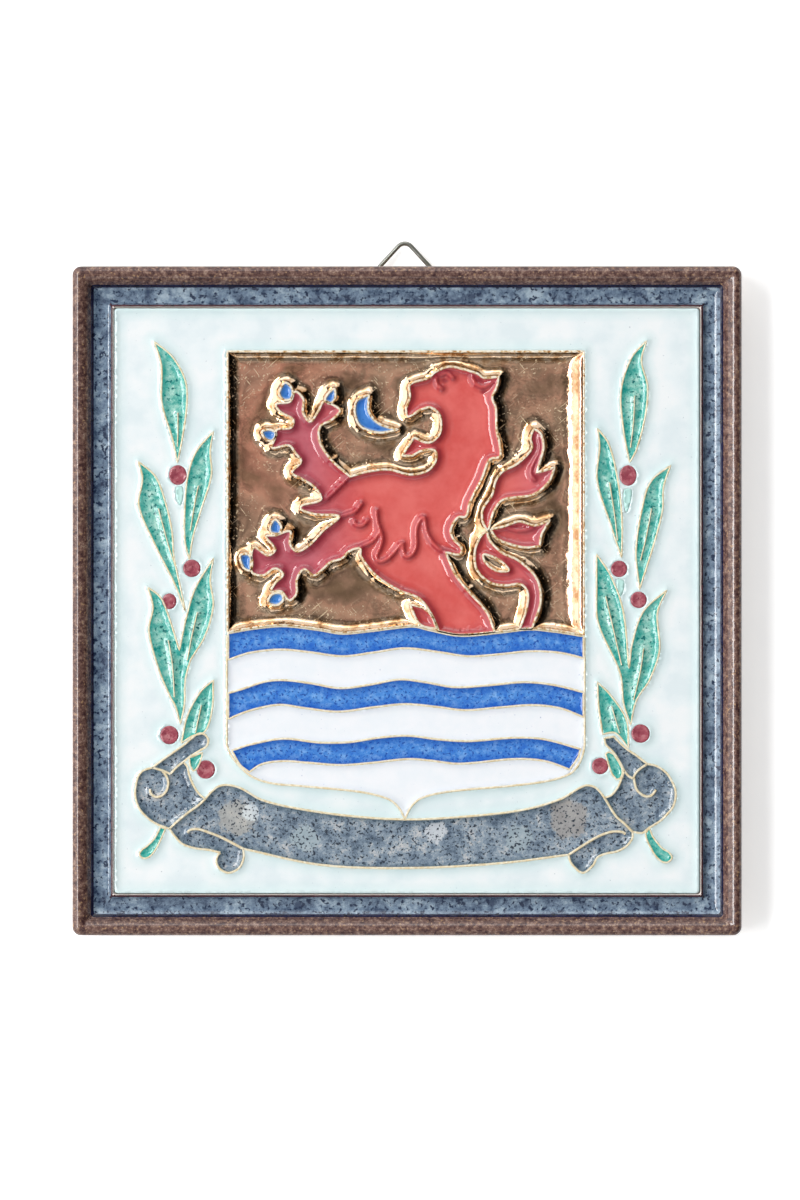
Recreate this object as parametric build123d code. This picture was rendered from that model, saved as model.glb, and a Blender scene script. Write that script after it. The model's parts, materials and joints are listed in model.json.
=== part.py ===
from build123d import *
import os

# Glazed relief tile with a wire hanger. Millimetres. The tile lies on its back: X to the right and
# Y up as it hangs, Z out of the picture. The origin is the middle of the square, on the foot rim.

# Tile
TILE_SIDE = 105.0
CORNER_RADIUS = 1.4
CREST_HEIGHT = 9.6
CREST_ROUNDING = 1.2

# Frame moulding, from the edge inwards
CREST_INSET = 1.3
RIM_WIDTH = 3.0
RIM_FOOT_HEIGHT = 8.2
RIM_CURVE_RADIUS = 2.2
COVE_WIDTH = 2.1
CHANNEL_HEIGHT = 7.0
PANEL_INSET = 6.45
PANEL_HEIGHT = 8.0
PANEL_CORNER_RADIUS = 1.2

# Relief on the panel
LEAF_RISE = 0.3
RIBBON_RISE = 0.35
WAVE_RISE = 0.25
SHIELD_RIDGE_WIDTH = 0.5
SHIELD_RIDGE_RISE = 0.3
FIELD_DEPTH = 1.45
FIELD_WALL_WIDTH = 1.3
BEAST_RISE = 0.15
CLAW_RISE = 0.0
BEAST_ROOT = 0.5

# How far a cutting solid runs past the clay
OVERCUT = 1.0

# Back of the tile
FOOT_HEIGHT = 3.2
FOOT_INSET = 8.0
FOOT_WIDTH = 5.0
FOOT_CORNER_RADIUS = 3.0
HANGER_HOLE_DIAMETER = 1.1
HANGER_HOLE_HEIGHT = 1.75

# Hanging wire
WIRE_DIAMETER = 0.7
WIRE_BEND_RADIUS = 1.4
LOOP_REACH = 3.8
LOOP_OFFSET = -0.35
LEG_HALF_SPREAD = 10.6
LEG_BEND_GAP = 0.9
END_SPLAY = 3.0

# The picture is drawn on a grid of drawing units, x to the right and y down
DRAWING_PANEL_SIDE = 588.0
DRAWING_CENTRE_X = 407.0
DRAWING_CENTRE_Y = 600.5
PANEL_SIDE = TILE_SIDE - 2 * PANEL_INSET
DRAWING_UNIT = PANEL_SIDE / DRAWING_PANEL_SIDE

FIELD_FLOOR = PANEL_HEIGHT - FIELD_DEPTH
HALF_SIDE = TILE_SIDE / 2

# Outlines. Each is a list of runs: a run is one smooth curve through its points, or a straight line
# when it has two. Runs meet at the picture's corners, and a single closed run is smooth all round.
SHIELD = [
    [(228, 745), (228, 351)],
    [(228, 351), (585, 351)],
    [(585, 351), (585, 745)],
    [(585, 745), (578, 767), (559, 779), (510, 786), (450, 791), (417, 801), (405, 819)],
    [(405, 819), (393, 801), (362, 792), (310, 787), (259, 780), (236, 762), (228, 745)],
]
FIELD = [
    [(230, 630), (230, 353)],
    [(230, 353), (583, 353)],
    [(583, 353), (583, 631)],
    [(583, 631), (556, 628), (528, 626), (470, 632), (440, 629), (413, 623), (380, 626), (345, 630),
     (318, 627), (285, 622.5), (256, 624), (230, 630)],
]
WAVES = [
    [
        [(227, 633), (250, 629), (283, 626), (320, 630), (345, 633.5), (385, 629), (413, 626.5),
         (440, 632.5), (470, 635.7), (530, 629.3), (558, 632), (582, 636)],
        [(582, 636), (582, 658)],
        [(582, 658), (540, 650.7), (500, 654), (468, 656), (440, 652), (405, 648), (375, 652),
         (343, 656), (310, 652), (280, 649.3), (250, 652.5), (227, 660)],
        [(227, 660), (227, 633)],
    ],
    [
        [(227, 693), (252, 685), (284, 680), (315, 684), (345, 688), (375, 683.5), (405, 679.3),
         (435, 684.5), (465, 687), (525, 682), (555, 685), (582, 692)],
        [(582, 692), (582, 717)],
        [(582, 717), (560, 708), (533, 705), (465, 710), (435, 706.5), (405, 704), (375, 707),
         (338, 711.5), (305, 708), (278, 704.7), (248, 711), (227, 719)],
        [(227, 719), (227, 693)],
    ],
    [
        [(231, 750.5), (255, 743), (283, 738.7), (335, 743), (380, 737.5), (408, 735.7), (460, 741),
         (515, 737.6), (552, 741), (581, 749)],
        [(581, 749), (570, 770)],
        [(570, 770), (545, 762), (520, 759), (460, 763.7), (408, 759), (340, 765), (283, 761),
         (262, 764), (247, 772)],
        [(247, 772), (231, 750.5)],
    ],
]
BEAST = [
    [(350, 476), (331, 459), (320, 442), (319, 428), (332, 419)],
    [(332, 419), (340, 410), (329, 403), (322, 402)],
    [(322, 402), (318, 413), (311, 421), (304, 414), (303, 402)],
    [(303, 402), (301, 393), (296, 391), (291, 400)],
    [(291, 400), (276, 404)],
    [(276, 404), (281, 412), (293, 419), (292, 427)],
    [(292, 427), (279, 428), (275, 437), (272, 447)],
    [(272, 447), (288, 445), (295, 452), (301, 462), (292, 472)],
    [(292, 472), (309, 481), (321, 499)],
    [(321, 499), (308, 503), (300, 507)],
    [(300, 507), (317, 514), (340, 516)],
    [(340, 516), (324, 530), (303, 550), (293, 550)],
    [(293, 550), (291, 540), (291, 531)],
    [(291, 531), (266, 535)],
    [(266, 535), (270, 543), (276, 550), (268, 555)],
    [(268, 555), (255, 547)],
    [(255, 547), (250, 558), (252, 572)],
    [(252, 572), (263, 575), (276, 568)],
    [(276, 568), (284, 574), (279, 582), (270, 589)],
    [(270, 589), (280, 590), (288, 600)],
    [(288, 600), (296, 594), (297, 582), (298, 572)],
    [(298, 572), (309, 569), (316, 575)],
    [(316, 575), (326, 564), (337, 562), (349, 551), (358, 546)],
    [(358, 546), (361, 556), (376, 575), (399, 590), (420, 599), (430, 611), (438, 627)],
    [(438, 627), (470, 633), (494, 629)],
    [(494, 629), (477, 600), (455, 574), (445, 552)],
    [(445, 552), (460, 554)],
    [(460, 554), (461, 545), (452, 531), (458, 517)],
    [(458, 517), (466, 515), (470, 500), (484, 473), (490, 459)],
    [(490, 459), (500, 457)],
    [(500, 457), (500, 443), (497, 417), (493, 398), (499, 376)],
    [(499, 376), (489, 375), (478, 373), (462, 368), (446, 367), (429, 377), (412, 383)],
    [(412, 383), (409, 398), (407, 414)],
    [(407, 414), (416, 413), (426, 407), (437, 411), (441, 424), (436, 441), (421, 441), (414, 437)],
    [(414, 437), (403, 456)],
    [(403, 456), (419, 451), (435, 450)],
    [(435, 450), (434, 465), (421, 473), (401, 471), (379, 469), (350, 476)],
]
REAR_PAW = [
    [(410, 604), (425, 608), (437, 624)],
    [(437, 624), (424, 625), (410, 604)],
]
TONGUE = [
    [(369, 394), (355, 405), (358, 424), (379, 432), (398, 429)],
    [(398, 429), (377, 422), (368, 407), (369, 394)],
]
TAIL_TUFT = [
    [(534, 428), (543, 438), (543, 456), (537, 472)],
    [(537, 472), (555, 467)],
    [(555, 467), (548, 484), (530, 496), (501, 499)],
    [(501, 499), (493, 512), (489, 526)],
    [(489, 526), (482, 516), (487, 499), (497, 480), (518, 463), (532, 448), (534, 428)],
]
TAIL_LEAF = [
    [(491, 528), (511, 523), (527, 525), (550, 520)],
    [(550, 520), (541, 533), (540, 546)],
    [(540, 546), (518, 546), (503, 540), (491, 528)],
]
TAIL = [
    [(487, 529), (477, 543), (476, 565), (488, 581), (508, 585), (525, 587), (529, 600), (520, 628)],
    [(520, 628), (532, 628)],
    [(532, 628), (541, 603), (537, 578), (518, 559), (494, 546), (487, 529)],
]
TAIL_GAP = [
    [(484, 554), (488, 565), (507, 571)],
    [(507, 571), (498, 559), (484, 554)],
]
CLAWS = [
    [[(284, 383), (292, 391), (289, 399), (281, 396), (284, 383)]],
    [[(334, 390), (334, 399), (327, 402), (327, 394), (334, 390)]],
    [[(263, 431), (274, 431), (275, 438), (267, 439), (263, 431)]],
    [[(270, 522), (280, 522), (279, 531), (272, 530), (270, 522)]],
    [[(241, 555), (251, 559), (251, 568), (243, 565), (241, 555)]],
    [[(281, 595), (278, 602), (269, 603), (271, 596), (281, 595)]],
]
LEAVES = [
    [
        [(154, 341), (172, 356), (185, 379), (187, 402), (183, 433), (177, 462)],
        [(177, 462), (172, 440), (161, 402), (161, 366), (154, 341)],
    ],
    [
        [(213, 431), (210, 452), (210, 483), (198, 518), (192, 540), (189, 559)],
        [(189, 559), (184, 548), (184, 522), (187, 478), (194, 454), (213, 431)],
    ],
    [
        [(138, 460), (151, 470), (162, 492), (170, 522), (174, 550)],
        [(174, 550), (173, 563)],
        [(173, 563), (178, 581), (185, 611)],
        [(185, 611), (177, 596), (168, 571), (155, 546), (139, 506), (142, 480), (138, 460)],
    ],
    [
        [(148, 587), (163, 602), (170, 626), (179, 650)],
        [(179, 650), (185, 620), (195, 590), (213, 558)],
        [(213, 558), (210, 580), (213, 606), (205, 636), (190, 661)],
        [(190, 661), (184, 682), (184, 705), (180, 724)],
        [(180, 724), (175, 702), (171, 698)],
        [(171, 698), (160, 676), (148, 630), (152, 606), (148, 587)],
    ],
    [
        [(213, 679), (212, 706), (205, 730)],
        [(205, 730), (181, 743)],
        [(181, 743), (187, 715), (213, 679)],
    ],
    [
        [(645, 340), (643, 358), (645, 374), (649, 396), (641, 432), (636, 461)],
        [(636, 461), (628, 461)],
        [(628, 461), (624, 430), (621, 398), (628, 367), (645, 340)],
    ],
    [
        [(598, 428), (613, 455), (619, 490), (624, 530), (621, 557)],
        [(621, 557), (612, 527), (597, 478), (600, 446), (598, 428)],
    ],
    [
        [(671, 465), (664, 488), (661, 520), (645, 566), (640, 589)],
        [(640, 589), (637, 546), (645, 496), (671, 465)],
    ],
    [
        [(599, 550), (616, 587), (626, 628), (629, 670)],
        [(629, 670), (635, 638), (647, 608), (668, 590)],
        [(668, 590), (658, 614), (660, 650), (641, 696)],
        [(641, 696), (635, 704), (631, 726)],
        [(631, 726), (625, 700), (607, 645), (596, 600), (599, 550)],
    ],
    [
        [(599, 682), (620, 707), (630, 732), (628, 747)],
        [(628, 747), (604, 735)],
        [(604, 735), (600, 712), (599, 682)],
    ],
    [
        [(609, 753), (621, 774), (618, 780), (606, 758), (609, 753)],
    ],
    [
        [(166, 832), (159, 847), (148, 860), (142, 856), (148, 847), (156, 838), (162, 830)],
        [(162, 830), (166, 832)],
    ],
    [
        [(647, 834), (656, 847), (669, 857), (667, 865), (655, 859), (647, 847), (643, 835)],
        [(643, 835), (647, 834)],
    ],
]
BERRIES = [
    (177.5, 474.5, 9),
    (191.5, 568, 9),
    (169, 601, 8),
    (169, 735, 9.5),
    (205.5, 769.5, 9.5),
    (628.5, 475, 9.5),
    (619.5, 568.5, 8.5),
    (639, 599.5, 8.5),
    (641, 733.5, 9.5),
    (600.5, 766, 8.5),
]
RIBBON = [
    [
        [(206, 800), (226, 786), (262, 800), (330, 814), (407, 819), (480, 815), (545, 805),
         (592, 786), (606, 797)],
        [(606, 797), (632, 836), (626, 848), (602, 853), (595, 864), (582, 873), (568, 855)],
        [(568, 855), (500, 863), (407, 868), (320, 865), (243, 849)],
        [(243, 849), (240, 864), (229, 873), (217, 860), (221, 853)],
        [(221, 853), (190, 846), (175, 832), (206, 800)],
    ],
    [
        [(201, 733), (208, 741), (203, 749), (182, 760), (170, 773)],
        [(170, 773), (152, 766)],
        [(152, 766), (178, 750), (201, 733)],
    ],
    [
        [(184, 762), (189, 779), (204, 801)],
        [(204, 801), (163, 828)],
        [(163, 828), (139, 808), (138, 782), (152, 770), (168, 776)],
        [(168, 776), (184, 762)],
    ],
    [
        [(605, 739), (618, 736)],
        [(618, 736), (632, 755), (650, 767)],
        [(650, 767), (634, 778)],
        [(634, 778), (618, 753), (605, 739)],
    ],
    [
        [(626, 778), (622, 787), (611, 798)],
        [(611, 798), (620, 817), (640, 832)],
        [(640, 832), (667, 811), (673, 790), (656, 770), (635, 779)],
        [(635, 779), (626, 778)],
    ],
]


def on_tile(point):
    """A point of the drawing in the tile's own millimetres."""
    x = (point[0] - DRAWING_CENTRE_X) * DRAWING_UNIT
    y = (DRAWING_CENTRE_Y - point[1]) * DRAWING_UNIT
    return (x, y)


def bulge_point(run, place, closed):
    """Where the smooth line through a run's points is halfway from one point to the next."""
    start, end = run[place], run[place + 1]
    if closed:
        before = run[place - 1] if place > 0 else run[-2]
        after = run[place + 2] if place + 2 < len(run) else run[1]
    else:
        before = run[place - 1] if place > 0 else None
        after = run[place + 2] if place + 2 < len(run) else None
    if before is None:
        return tuple((3 * s + 6 * e - a) / 8 for s, e, a in zip(start, end, after))
    if after is None:
        return tuple((6 * s + 3 * e - b) / 8 for s, e, b in zip(start, end, before))
    return tuple(
        (9 * (s + e) - b - a) / 16 for s, e, b, a in zip(start, end, before, after)
    )


def outline_face(runs):
    """The flat face inside an outline, with each run as a chain of arcs."""
    edges = []
    for run in runs:
        if len(run) == 2:
            edges.append(Line(on_tile(run[0]), on_tile(run[1])))
            continue
        for place in range(len(run) - 1):
            middle = bulge_point(run, place, closed=len(runs) == 1)
            ends = (on_tile(run[place]), on_tile(middle), on_tile(run[place + 1]))
            edges.append(ThreePointArc(*ends))
    return make_face(Curve() + edges)


def drawn_in(runs, margin):
    """The same outline, smaller by a margin in millimetres at each side, top and bottom."""
    places = [point for run in runs for point in run]
    lowest = [min(place[axis] for place in places) for axis in (0, 1)]
    highest = [max(place[axis] for place in places) for axis in (0, 1)]
    middle = [(lowest[axis] + highest[axis]) / 2 for axis in (0, 1)]
    shares = [
        1 - 2 * margin / DRAWING_UNIT / (highest[axis] - lowest[axis]) for axis in (0, 1)
    ]
    return [
        [tuple(middle[a] + (point[a] - middle[a]) * shares[a] for a in (0, 1)) for point in run]
        for run in runs
    ]


def raised(runs, foot, rise):
    """A solid that stands on an outline, from the height foot to rise above the panel."""
    return Pos(0, 0, foot) * extrude(outline_face(runs), PANEL_HEIGHT + rise - foot)


def sagging_arc(start, end, radius):
    """An arc of the moulding's section: crowned when the radius is positive, else hollow."""
    inward, fall = start[0] - end[0], start[1] - end[1]
    chord = (inward**2 + fall**2) ** 0.5
    sag = abs(radius) - (radius**2 - chord**2 / 4) ** 0.5
    side = sag / chord if radius > 0 else -sag / chord
    middle_x = (start[0] + end[0]) / 2 - fall * side
    middle_z = (start[1] + end[1]) / 2 + inward * side
    return ThreePointArc((start[0], 0, start[1]), (middle_x, 0, middle_z), (end[0], 0, end[1]))


def mitred_cut():
    """What the frame moulding leaves away, as four lengths that meet at the corners' diagonals."""
    top = CREST_HEIGHT + OVERCUT
    outer = HALF_SIDE - CREST_INSET
    foot_of_rim = HALF_SIDE - RIM_WIDTH
    channel_start = foot_of_rim - COVE_WIDTH
    cove_drop = RIM_FOOT_HEIGHT - CHANNEL_HEIGHT
    cove_radius = (COVE_WIDTH**2 + cove_drop**2) / (2 * cove_drop)
    section = make_face(
        Curve()
        + [
            Line((0, 0, top), (outer, 0, top)),
            Line((outer, 0, top), (outer, 0, CREST_HEIGHT)),
            sagging_arc((outer, CREST_HEIGHT), (foot_of_rim, RIM_FOOT_HEIGHT), RIM_CURVE_RADIUS),
            sagging_arc((foot_of_rim, RIM_FOOT_HEIGHT), (channel_start, CHANNEL_HEIGHT), -cove_radius),
            Line((channel_start, 0, CHANNEL_HEIGHT), (0, 0, CHANNEL_HEIGHT)),
            Line((0, 0, CHANNEL_HEIGHT), (0, 0, top)),
        ]
    )
    reach = HALF_SIDE + OVERCUT
    length = extrude(section, reach, both=True)
    quarter = make_face(Polyline((0, 0), (reach, -reach), (reach, reach), close=True))
    side = length & extrude(quarter, top + OVERCUT)
    return [Rot(0, 0, 90 * turn) * side for turn in range(4)]


def framed_body():
    """The clay slab with its rounded crest, moulded frame and standing panel."""
    slab = extrude(RectangleRounded(TILE_SIDE, TILE_SIDE, CORNER_RADIUS), CREST_HEIGHT)
    slab = fillet(slab.faces().sort_by(Axis.Z)[-1].edges(), CREST_ROUNDING)
    body = slab - mitred_cut()
    panel = extrude(RectangleRounded(PANEL_SIDE, PANEL_SIDE, PANEL_CORNER_RADIUS), PANEL_HEIGHT)
    return body + panel


def shield_relief():
    """The shield's own ridge, with its waves standing on the panel."""
    shield = outline_face(SHIELD)
    inner = outline_face(drawn_in(SHIELD, SHIELD_RIDGE_WIDTH))
    ridge = Pos(0, 0, CHANNEL_HEIGHT) * extrude(
        shield - inner, PANEL_HEIGHT + SHIELD_RIDGE_RISE - CHANNEL_HEIGHT
    )
    return [ridge] + [raised(wave, CHANNEL_HEIGHT, WAVE_RISE) for wave in WAVES]


def field_cut():
    """The sunk gilt field, with walls that lean outwards as they rise."""
    mouth = Pos(0, 0, PANEL_HEIGHT) * outline_face(FIELD)
    floor = Pos(0, 0, FIELD_FLOOR) * outline_face(drawn_in(FIELD, FIELD_WALL_WIDTH))
    return extrude(mouth, SHIELD_RIDGE_RISE + OVERCUT) + loft([floor, mouth], ruled=True)


def beast_relief():
    """The beast and its tail, standing on the floor of the field."""
    foot = FIELD_FLOOR - BEAST_ROOT
    solids = [raised(part, foot, BEAST_RISE) for part in (BEAST, REAR_PAW, TAIL_TUFT, TAIL_LEAF)]
    solids.append(raised(TAIL, foot, BEAST_RISE) - raised(TAIL_GAP, foot, BEAST_RISE))
    solids.append(raised(TONGUE, foot, CLAW_RISE))
    solids += [raised(claw, foot, CLAW_RISE) for claw in CLAWS]
    return solids


def branch_relief():
    """The two branches, leaf by leaf, and their berries."""
    solids = [raised(leaf, CHANNEL_HEIGHT, LEAF_RISE) for leaf in LEAVES]
    for x, y, radius in BERRIES:
        place = Pos(*on_tile((x, y)), CHANNEL_HEIGHT)
        berry = Cylinder(
            radius * DRAWING_UNIT,
            PANEL_HEIGHT + LEAF_RISE - CHANNEL_HEIGHT,
            align=(Align.CENTER, Align.CENTER, Align.MIN),
        )
        solids.append(place * berry)
    return solids


def ribbon_relief():
    """The ribbon in its five visible lengths."""
    return [raised(length, CHANNEL_HEIGHT, RIBBON_RISE) for length in RIBBON]


def back_recess():
    """What is hollow behind the tile, round and inside the square foot rim."""
    outside = TILE_SIDE - 2 * FOOT_INSET
    inside = outside - 2 * FOOT_WIDTH
    rim = RectangleRounded(outside, outside, FOOT_CORNER_RADIUS)
    rim -= RectangleRounded(inside, inside, FOOT_CORNER_RADIUS)
    everywhere = Rectangle(TILE_SIDE + OVERCUT, TILE_SIDE + OVERCUT)
    return extrude(everywhere - rim, FOOT_HEIGHT)


def hanger_holes():
    """Two holes through the top length of the foot rim, for the wire's legs."""
    hole = Cylinder(HANGER_HOLE_DIAMETER / 2, FOOT_WIDTH * 2, rotation=(90, 0, 0))
    y = HALF_SIDE - FOOT_INSET - FOOT_WIDTH / 2
    return [
        Pos(LOOP_OFFSET + side * LEG_HALF_SPREAD, y, HANGER_HOLE_HEIGHT) * hole
        for side in (-1, 1)
    ]


def make_tile():
    body = framed_body()
    body += shield_relief()
    body -= field_cut()
    body += beast_relief() + branch_relief() + ribbon_relief()
    body -= back_recess()
    body -= hanger_holes()
    return body


def make_hanging_wire():
    """One length of wire: a narrow loop, two spread legs, and ends splayed out inside the rim."""
    height = HANGER_HOLE_HEIGHT - HANGER_HOLE_DIAMETER / 2 + WIRE_DIAMETER / 2
    rim_outside = HALF_SIDE - FOOT_INSET
    bend = rim_outside + LEG_BEND_GAP
    end = rim_outside - FOOT_WIDTH - LEG_BEND_GAP
    apex = HALF_SIDE + LOOP_REACH
    tip = apex
    for _ in range(30):
        slope = LEG_HALF_SPREAD / (tip - bend)
        tip = apex + WIRE_BEND_RADIUS * ((1 + 1 / slope**2) ** 0.5 - 1)
    half = [
        (LEG_HALF_SPREAD + END_SPLAY, end - END_SPLAY),
        (LEG_HALF_SPREAD, end),
        (LEG_HALF_SPREAD, bend),
    ]
    points = [(-x, y) for x, y in half] + [(0, tip)] + half[::-1]
    route = FilletPolyline(*points, radius=WIRE_BEND_RADIUS)
    start = route @ 0
    section = Plane(origin=start, z_dir=route % 0) * Circle(WIRE_DIAMETER / 2)
    return Pos(LOOP_OFFSET, 0, height) * sweep(section, path=route)


os.makedirs("parts", exist_ok=True)
export_step(make_tile(), "parts/tile.step")
export_step(make_hanging_wire(), "parts/hanging_wire.step")
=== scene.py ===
# %% Load the frame
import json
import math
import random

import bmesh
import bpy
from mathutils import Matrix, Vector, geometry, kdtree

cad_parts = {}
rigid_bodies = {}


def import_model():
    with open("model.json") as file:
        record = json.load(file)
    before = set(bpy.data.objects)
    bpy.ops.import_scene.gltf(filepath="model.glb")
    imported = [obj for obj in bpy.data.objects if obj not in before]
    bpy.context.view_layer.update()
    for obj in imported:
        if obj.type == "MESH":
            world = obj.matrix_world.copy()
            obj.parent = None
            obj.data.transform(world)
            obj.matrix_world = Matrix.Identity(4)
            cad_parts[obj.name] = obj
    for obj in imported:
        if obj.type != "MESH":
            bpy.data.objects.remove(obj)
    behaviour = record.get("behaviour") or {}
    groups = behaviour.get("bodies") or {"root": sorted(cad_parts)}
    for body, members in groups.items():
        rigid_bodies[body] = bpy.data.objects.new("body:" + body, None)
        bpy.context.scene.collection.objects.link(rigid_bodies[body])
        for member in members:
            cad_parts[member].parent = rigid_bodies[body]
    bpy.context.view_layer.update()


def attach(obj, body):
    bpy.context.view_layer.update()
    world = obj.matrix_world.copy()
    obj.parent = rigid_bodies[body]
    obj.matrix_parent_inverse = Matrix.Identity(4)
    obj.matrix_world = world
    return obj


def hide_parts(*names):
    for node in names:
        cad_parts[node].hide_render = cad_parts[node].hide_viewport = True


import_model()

# %% [markdown]
# # A relief tile in coloured glazes
# The real tile is one pressed and fired piece of pale clay. Raised clay lines keep pools of
# coloured glaze apart, a moulded frame runs round the picture, and a thin wire behind the top edge
# hangs it. The CAD gives the size, the section and the main relief. This scene gives the finish: the
# pools with their rising edges, the lines between them, and what each glaze does with light.

MM = 0.001

# %% [markdown]
# ## Sizes
# Blender works in metres here, so a size in millimetres is multiplied by MM. Heights are counted
# from the foot rim that the tile lies on, as in the CAD. The picture was drawn on a grid of its
# own, and one function brings a point of it to the tile.

# %% Sizes of the tile
TILE_SIDE = 105.0
HALF_SIDE = TILE_SIDE / 2
CORNER_RADIUS = 1.4
CREST_HEIGHT = 9.6
CREST_ROUNDING = 1.2
FOOT_HEIGHT = 3.2
PANEL_INSET = 6.45
LINE_HEIGHT = 8.2
POOL_BOTTOM = 6.05
PANEL_SIDE = TILE_SIDE - 2 * PANEL_INSET
DRAWING_PANEL_SIDE = 588.0
DRAWING_CENTRE_X = 407.0
DRAWING_CENTRE_Y = 600.5
DRAWING_UNIT = PANEL_SIDE / DRAWING_PANEL_SIDE


def on_tile(point):
    """A point of the drawing, x right and y down, in the tile's own millimetres."""
    x = (point[0] - DRAWING_CENTRE_X) * DRAWING_UNIT
    y = (DRAWING_CENTRE_Y - point[1]) * DRAWING_UNIT
    return (x, y)


print("one drawing unit, mm:", round(DRAWING_UNIT, 4))

# %% [markdown]
# ## Camera
# The photograph looks straight down on the tile from far off, so its edges stay parallel. A long
# lens from 1.5 m does the same, and 125 mm of the table fill the width of the picture. The tile
# lies a little right of the picture's middle, and a hair below it.

# %% Camera
CAMERA_DISTANCE = 1.5
PICTURE_WIDTH = 0.1254
TILE_RIGHT_OF_MIDDLE = 7 * DRAWING_UNIT
TILE_BELOW_MIDDLE = 0.13
SENSOR_WIDTH = 36


def add_camera():
    place = (-TILE_RIGHT_OF_MIDDLE * MM, TILE_BELOW_MIDDLE * MM, CAMERA_DISTANCE)
    bpy.ops.object.camera_add(location=place)
    camera = bpy.context.object
    camera.name = "camera"
    camera.data.sensor_fit = "HORIZONTAL"
    camera.data.sensor_width = SENSOR_WIDTH
    camera.data.lens = SENSOR_WIDTH * (CAMERA_DISTANCE - CREST_HEIGHT * MM) / PICTURE_WIDTH
    bpy.context.scene.camera = camera
    print("lens, mm:", round(camera.data.lens, 1))


add_camera()
bpy.context.scene.view_settings.view_transform = "Standard"

# %% [markdown]
# ## Material helpers
# Colours are written as they look on screen, and one function turns them to the linear values that
# Blender mixes. One function adds a node of any kind, with its settings and links. The rest make
# what many finishes share: mottling of a given size, a tint beside the clay lines, and the surface.

# %% Material helpers
BLACK, WHITE = "#000000", "#ffffff"


def linear(hex_colour):
    """A screen colour such as #a04858 as the linear colour that Blender mixes."""
    steps = [int(hex_colour[i : i + 2], 16) / 255 for i in (1, 3, 5)]
    return [c / 12.92 if c <= 0.04045 else ((c + 0.055) / 1.055) ** 2.4 for c in steps] + [1.0]


def add_node(material, kind, sockets=None, stops=(), **settings):
    """Add a node, set it up, and give its sockets values or links, and a ramp its colour stops.

    A link is written as (node, output), or as a node alone for that node's first output."""
    tree = material.node_tree
    node = tree.nodes.new("ShaderNode" + kind)
    for name, value in settings.items():
        setattr(node, name, value)
    for socket, value in (sockets or {}).items():
        if isinstance(value, bpy.types.Node):
            tree.links.new(value.outputs[0], node.inputs[socket])
        elif isinstance(value, tuple) and isinstance(value[0], bpy.types.Node):
            tree.links.new(value[0].outputs[value[1]], node.inputs[socket])
        else:
            node.inputs[socket].default_value = value
    if stops:
        elements = node.color_ramp.elements
        while len(elements) < len(stops):
            elements.new(0.5)
        for element, (position, colour) in zip(elements, stops):
            element.position = position
            element.color = linear(colour)
    return node


def even_stops(colours, first, width):
    """Colour stops at even steps over a width."""
    return [(first + width * i / (len(colours) - 1), colour) for i, colour in enumerate(colours)]


def new_material(name):
    material = bpy.data.materials.new(name)
    material.use_nodes = True
    for node in list(material.node_tree.nodes):
        if node.type != "OUTPUT_MATERIAL":
            material.node_tree.nodes.remove(node)
    return material


def mottling(material, size_mm, detail=2.0, roughness=0.5):
    """Cloudy noise in the object's own place, with spots about size_mm across."""
    place = add_node(material, "TexCoord")
    return add_node(material, "TexNoise", {
        "Vector": (place, "Object"), "Scale": 0.5 / (size_mm * MM), "Detail": detail,
        "Roughness": roughness})


def near_line(material, reach_mm, line="line_distance"):
    """A value of 1 on the clay lines or the folds that falls to 0 at reach_mm from them."""
    distance = add_node(material, "Attribute", attribute_name=line)
    return add_node(material, "MapRange", {
        "Value": (distance, "Fac"), "From Min": 0.0, "From Max": reach_mm, "To Min": 1.0,
        "To Max": 0.0})


def away_from(material, centre, reach_mm, tall=1.0):
    """0 at a point of the drawing, rising to 1 at reach_mm from it, in an upright oval."""
    x, y = on_tile(centre)
    place = add_node(material, "TexCoord")
    spread = [1 / (reach_mm * MM), 1 / (reach_mm * tall * MM), 0]
    move = add_node(material, "Mapping", {
        "Vector": (place, "Object"), "Scale": spread,
        "Location": [-x * MM * spread[0], -y * MM * spread[1], 0]})
    ball = add_node(material, "TexGradient", {"Vector": move}, gradient_type="SPHERICAL")
    return add_node(material, "Math", {0: 1.0, 1: (ball, "Fac")}, operation="SUBTRACT")


def surface(material, sockets, unevenness=None, depth_mm=0.0):
    """The surface shader with a fine unevenness, joined to the material's output."""
    if unevenness is not None:
        bump = add_node(material, "Bump", {
            "Height": unevenness, "Distance": depth_mm * MM, "Strength": 1.0})
        sockets = {**sockets, "Normal": bump}
    shader = add_node(material, "BsdfPrincipled", sockets)
    output = material.node_tree.nodes["Material Output"]
    material.node_tree.links.new(shader.outputs["BSDF"], output.inputs["Surface"])


# %% [markdown]
# ## Light
# A narrow lamp at the left gives the glazes their thin pale streaks. A broad one below it lights
# every slope that faces left, and a broad and a narrow one beyond the top edge light those that
# face up. Two weak lamps beyond the low edge keep the slopes that face them from going black. The
# room is dim, and darkest at the right, so the gold shows brown floors, dark far slopes and bright
# near ones. A paler patch straight overhead is what the flat gold mirrors.

# %% Lamps
LAMPS = {
    # name: (place in metres, width and depth in metres, power in watts)
    "left_strip": ((-1.04, 0.16, 1.72), (1.6, 0.42), 22.5),
    "left_broad_panel": ((-1.72, 0.1, 0.96), (3.6, 1.6), 31.0),
    "top_panel": ((0.1, 1.84, 0.92), (2.8, 1.8), 15.0),
    "low_panel": ((0.1, -1.84, 0.92), (2.8, 1.2), 3.0),
    "top_strip": ((-0.1, 1.72, 1.12), (1.8, 0.4), 4.0),
    "low_strip": ((0.1, -1.72, 1.12), (1.8, 0.16), 1.2),
}


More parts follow.
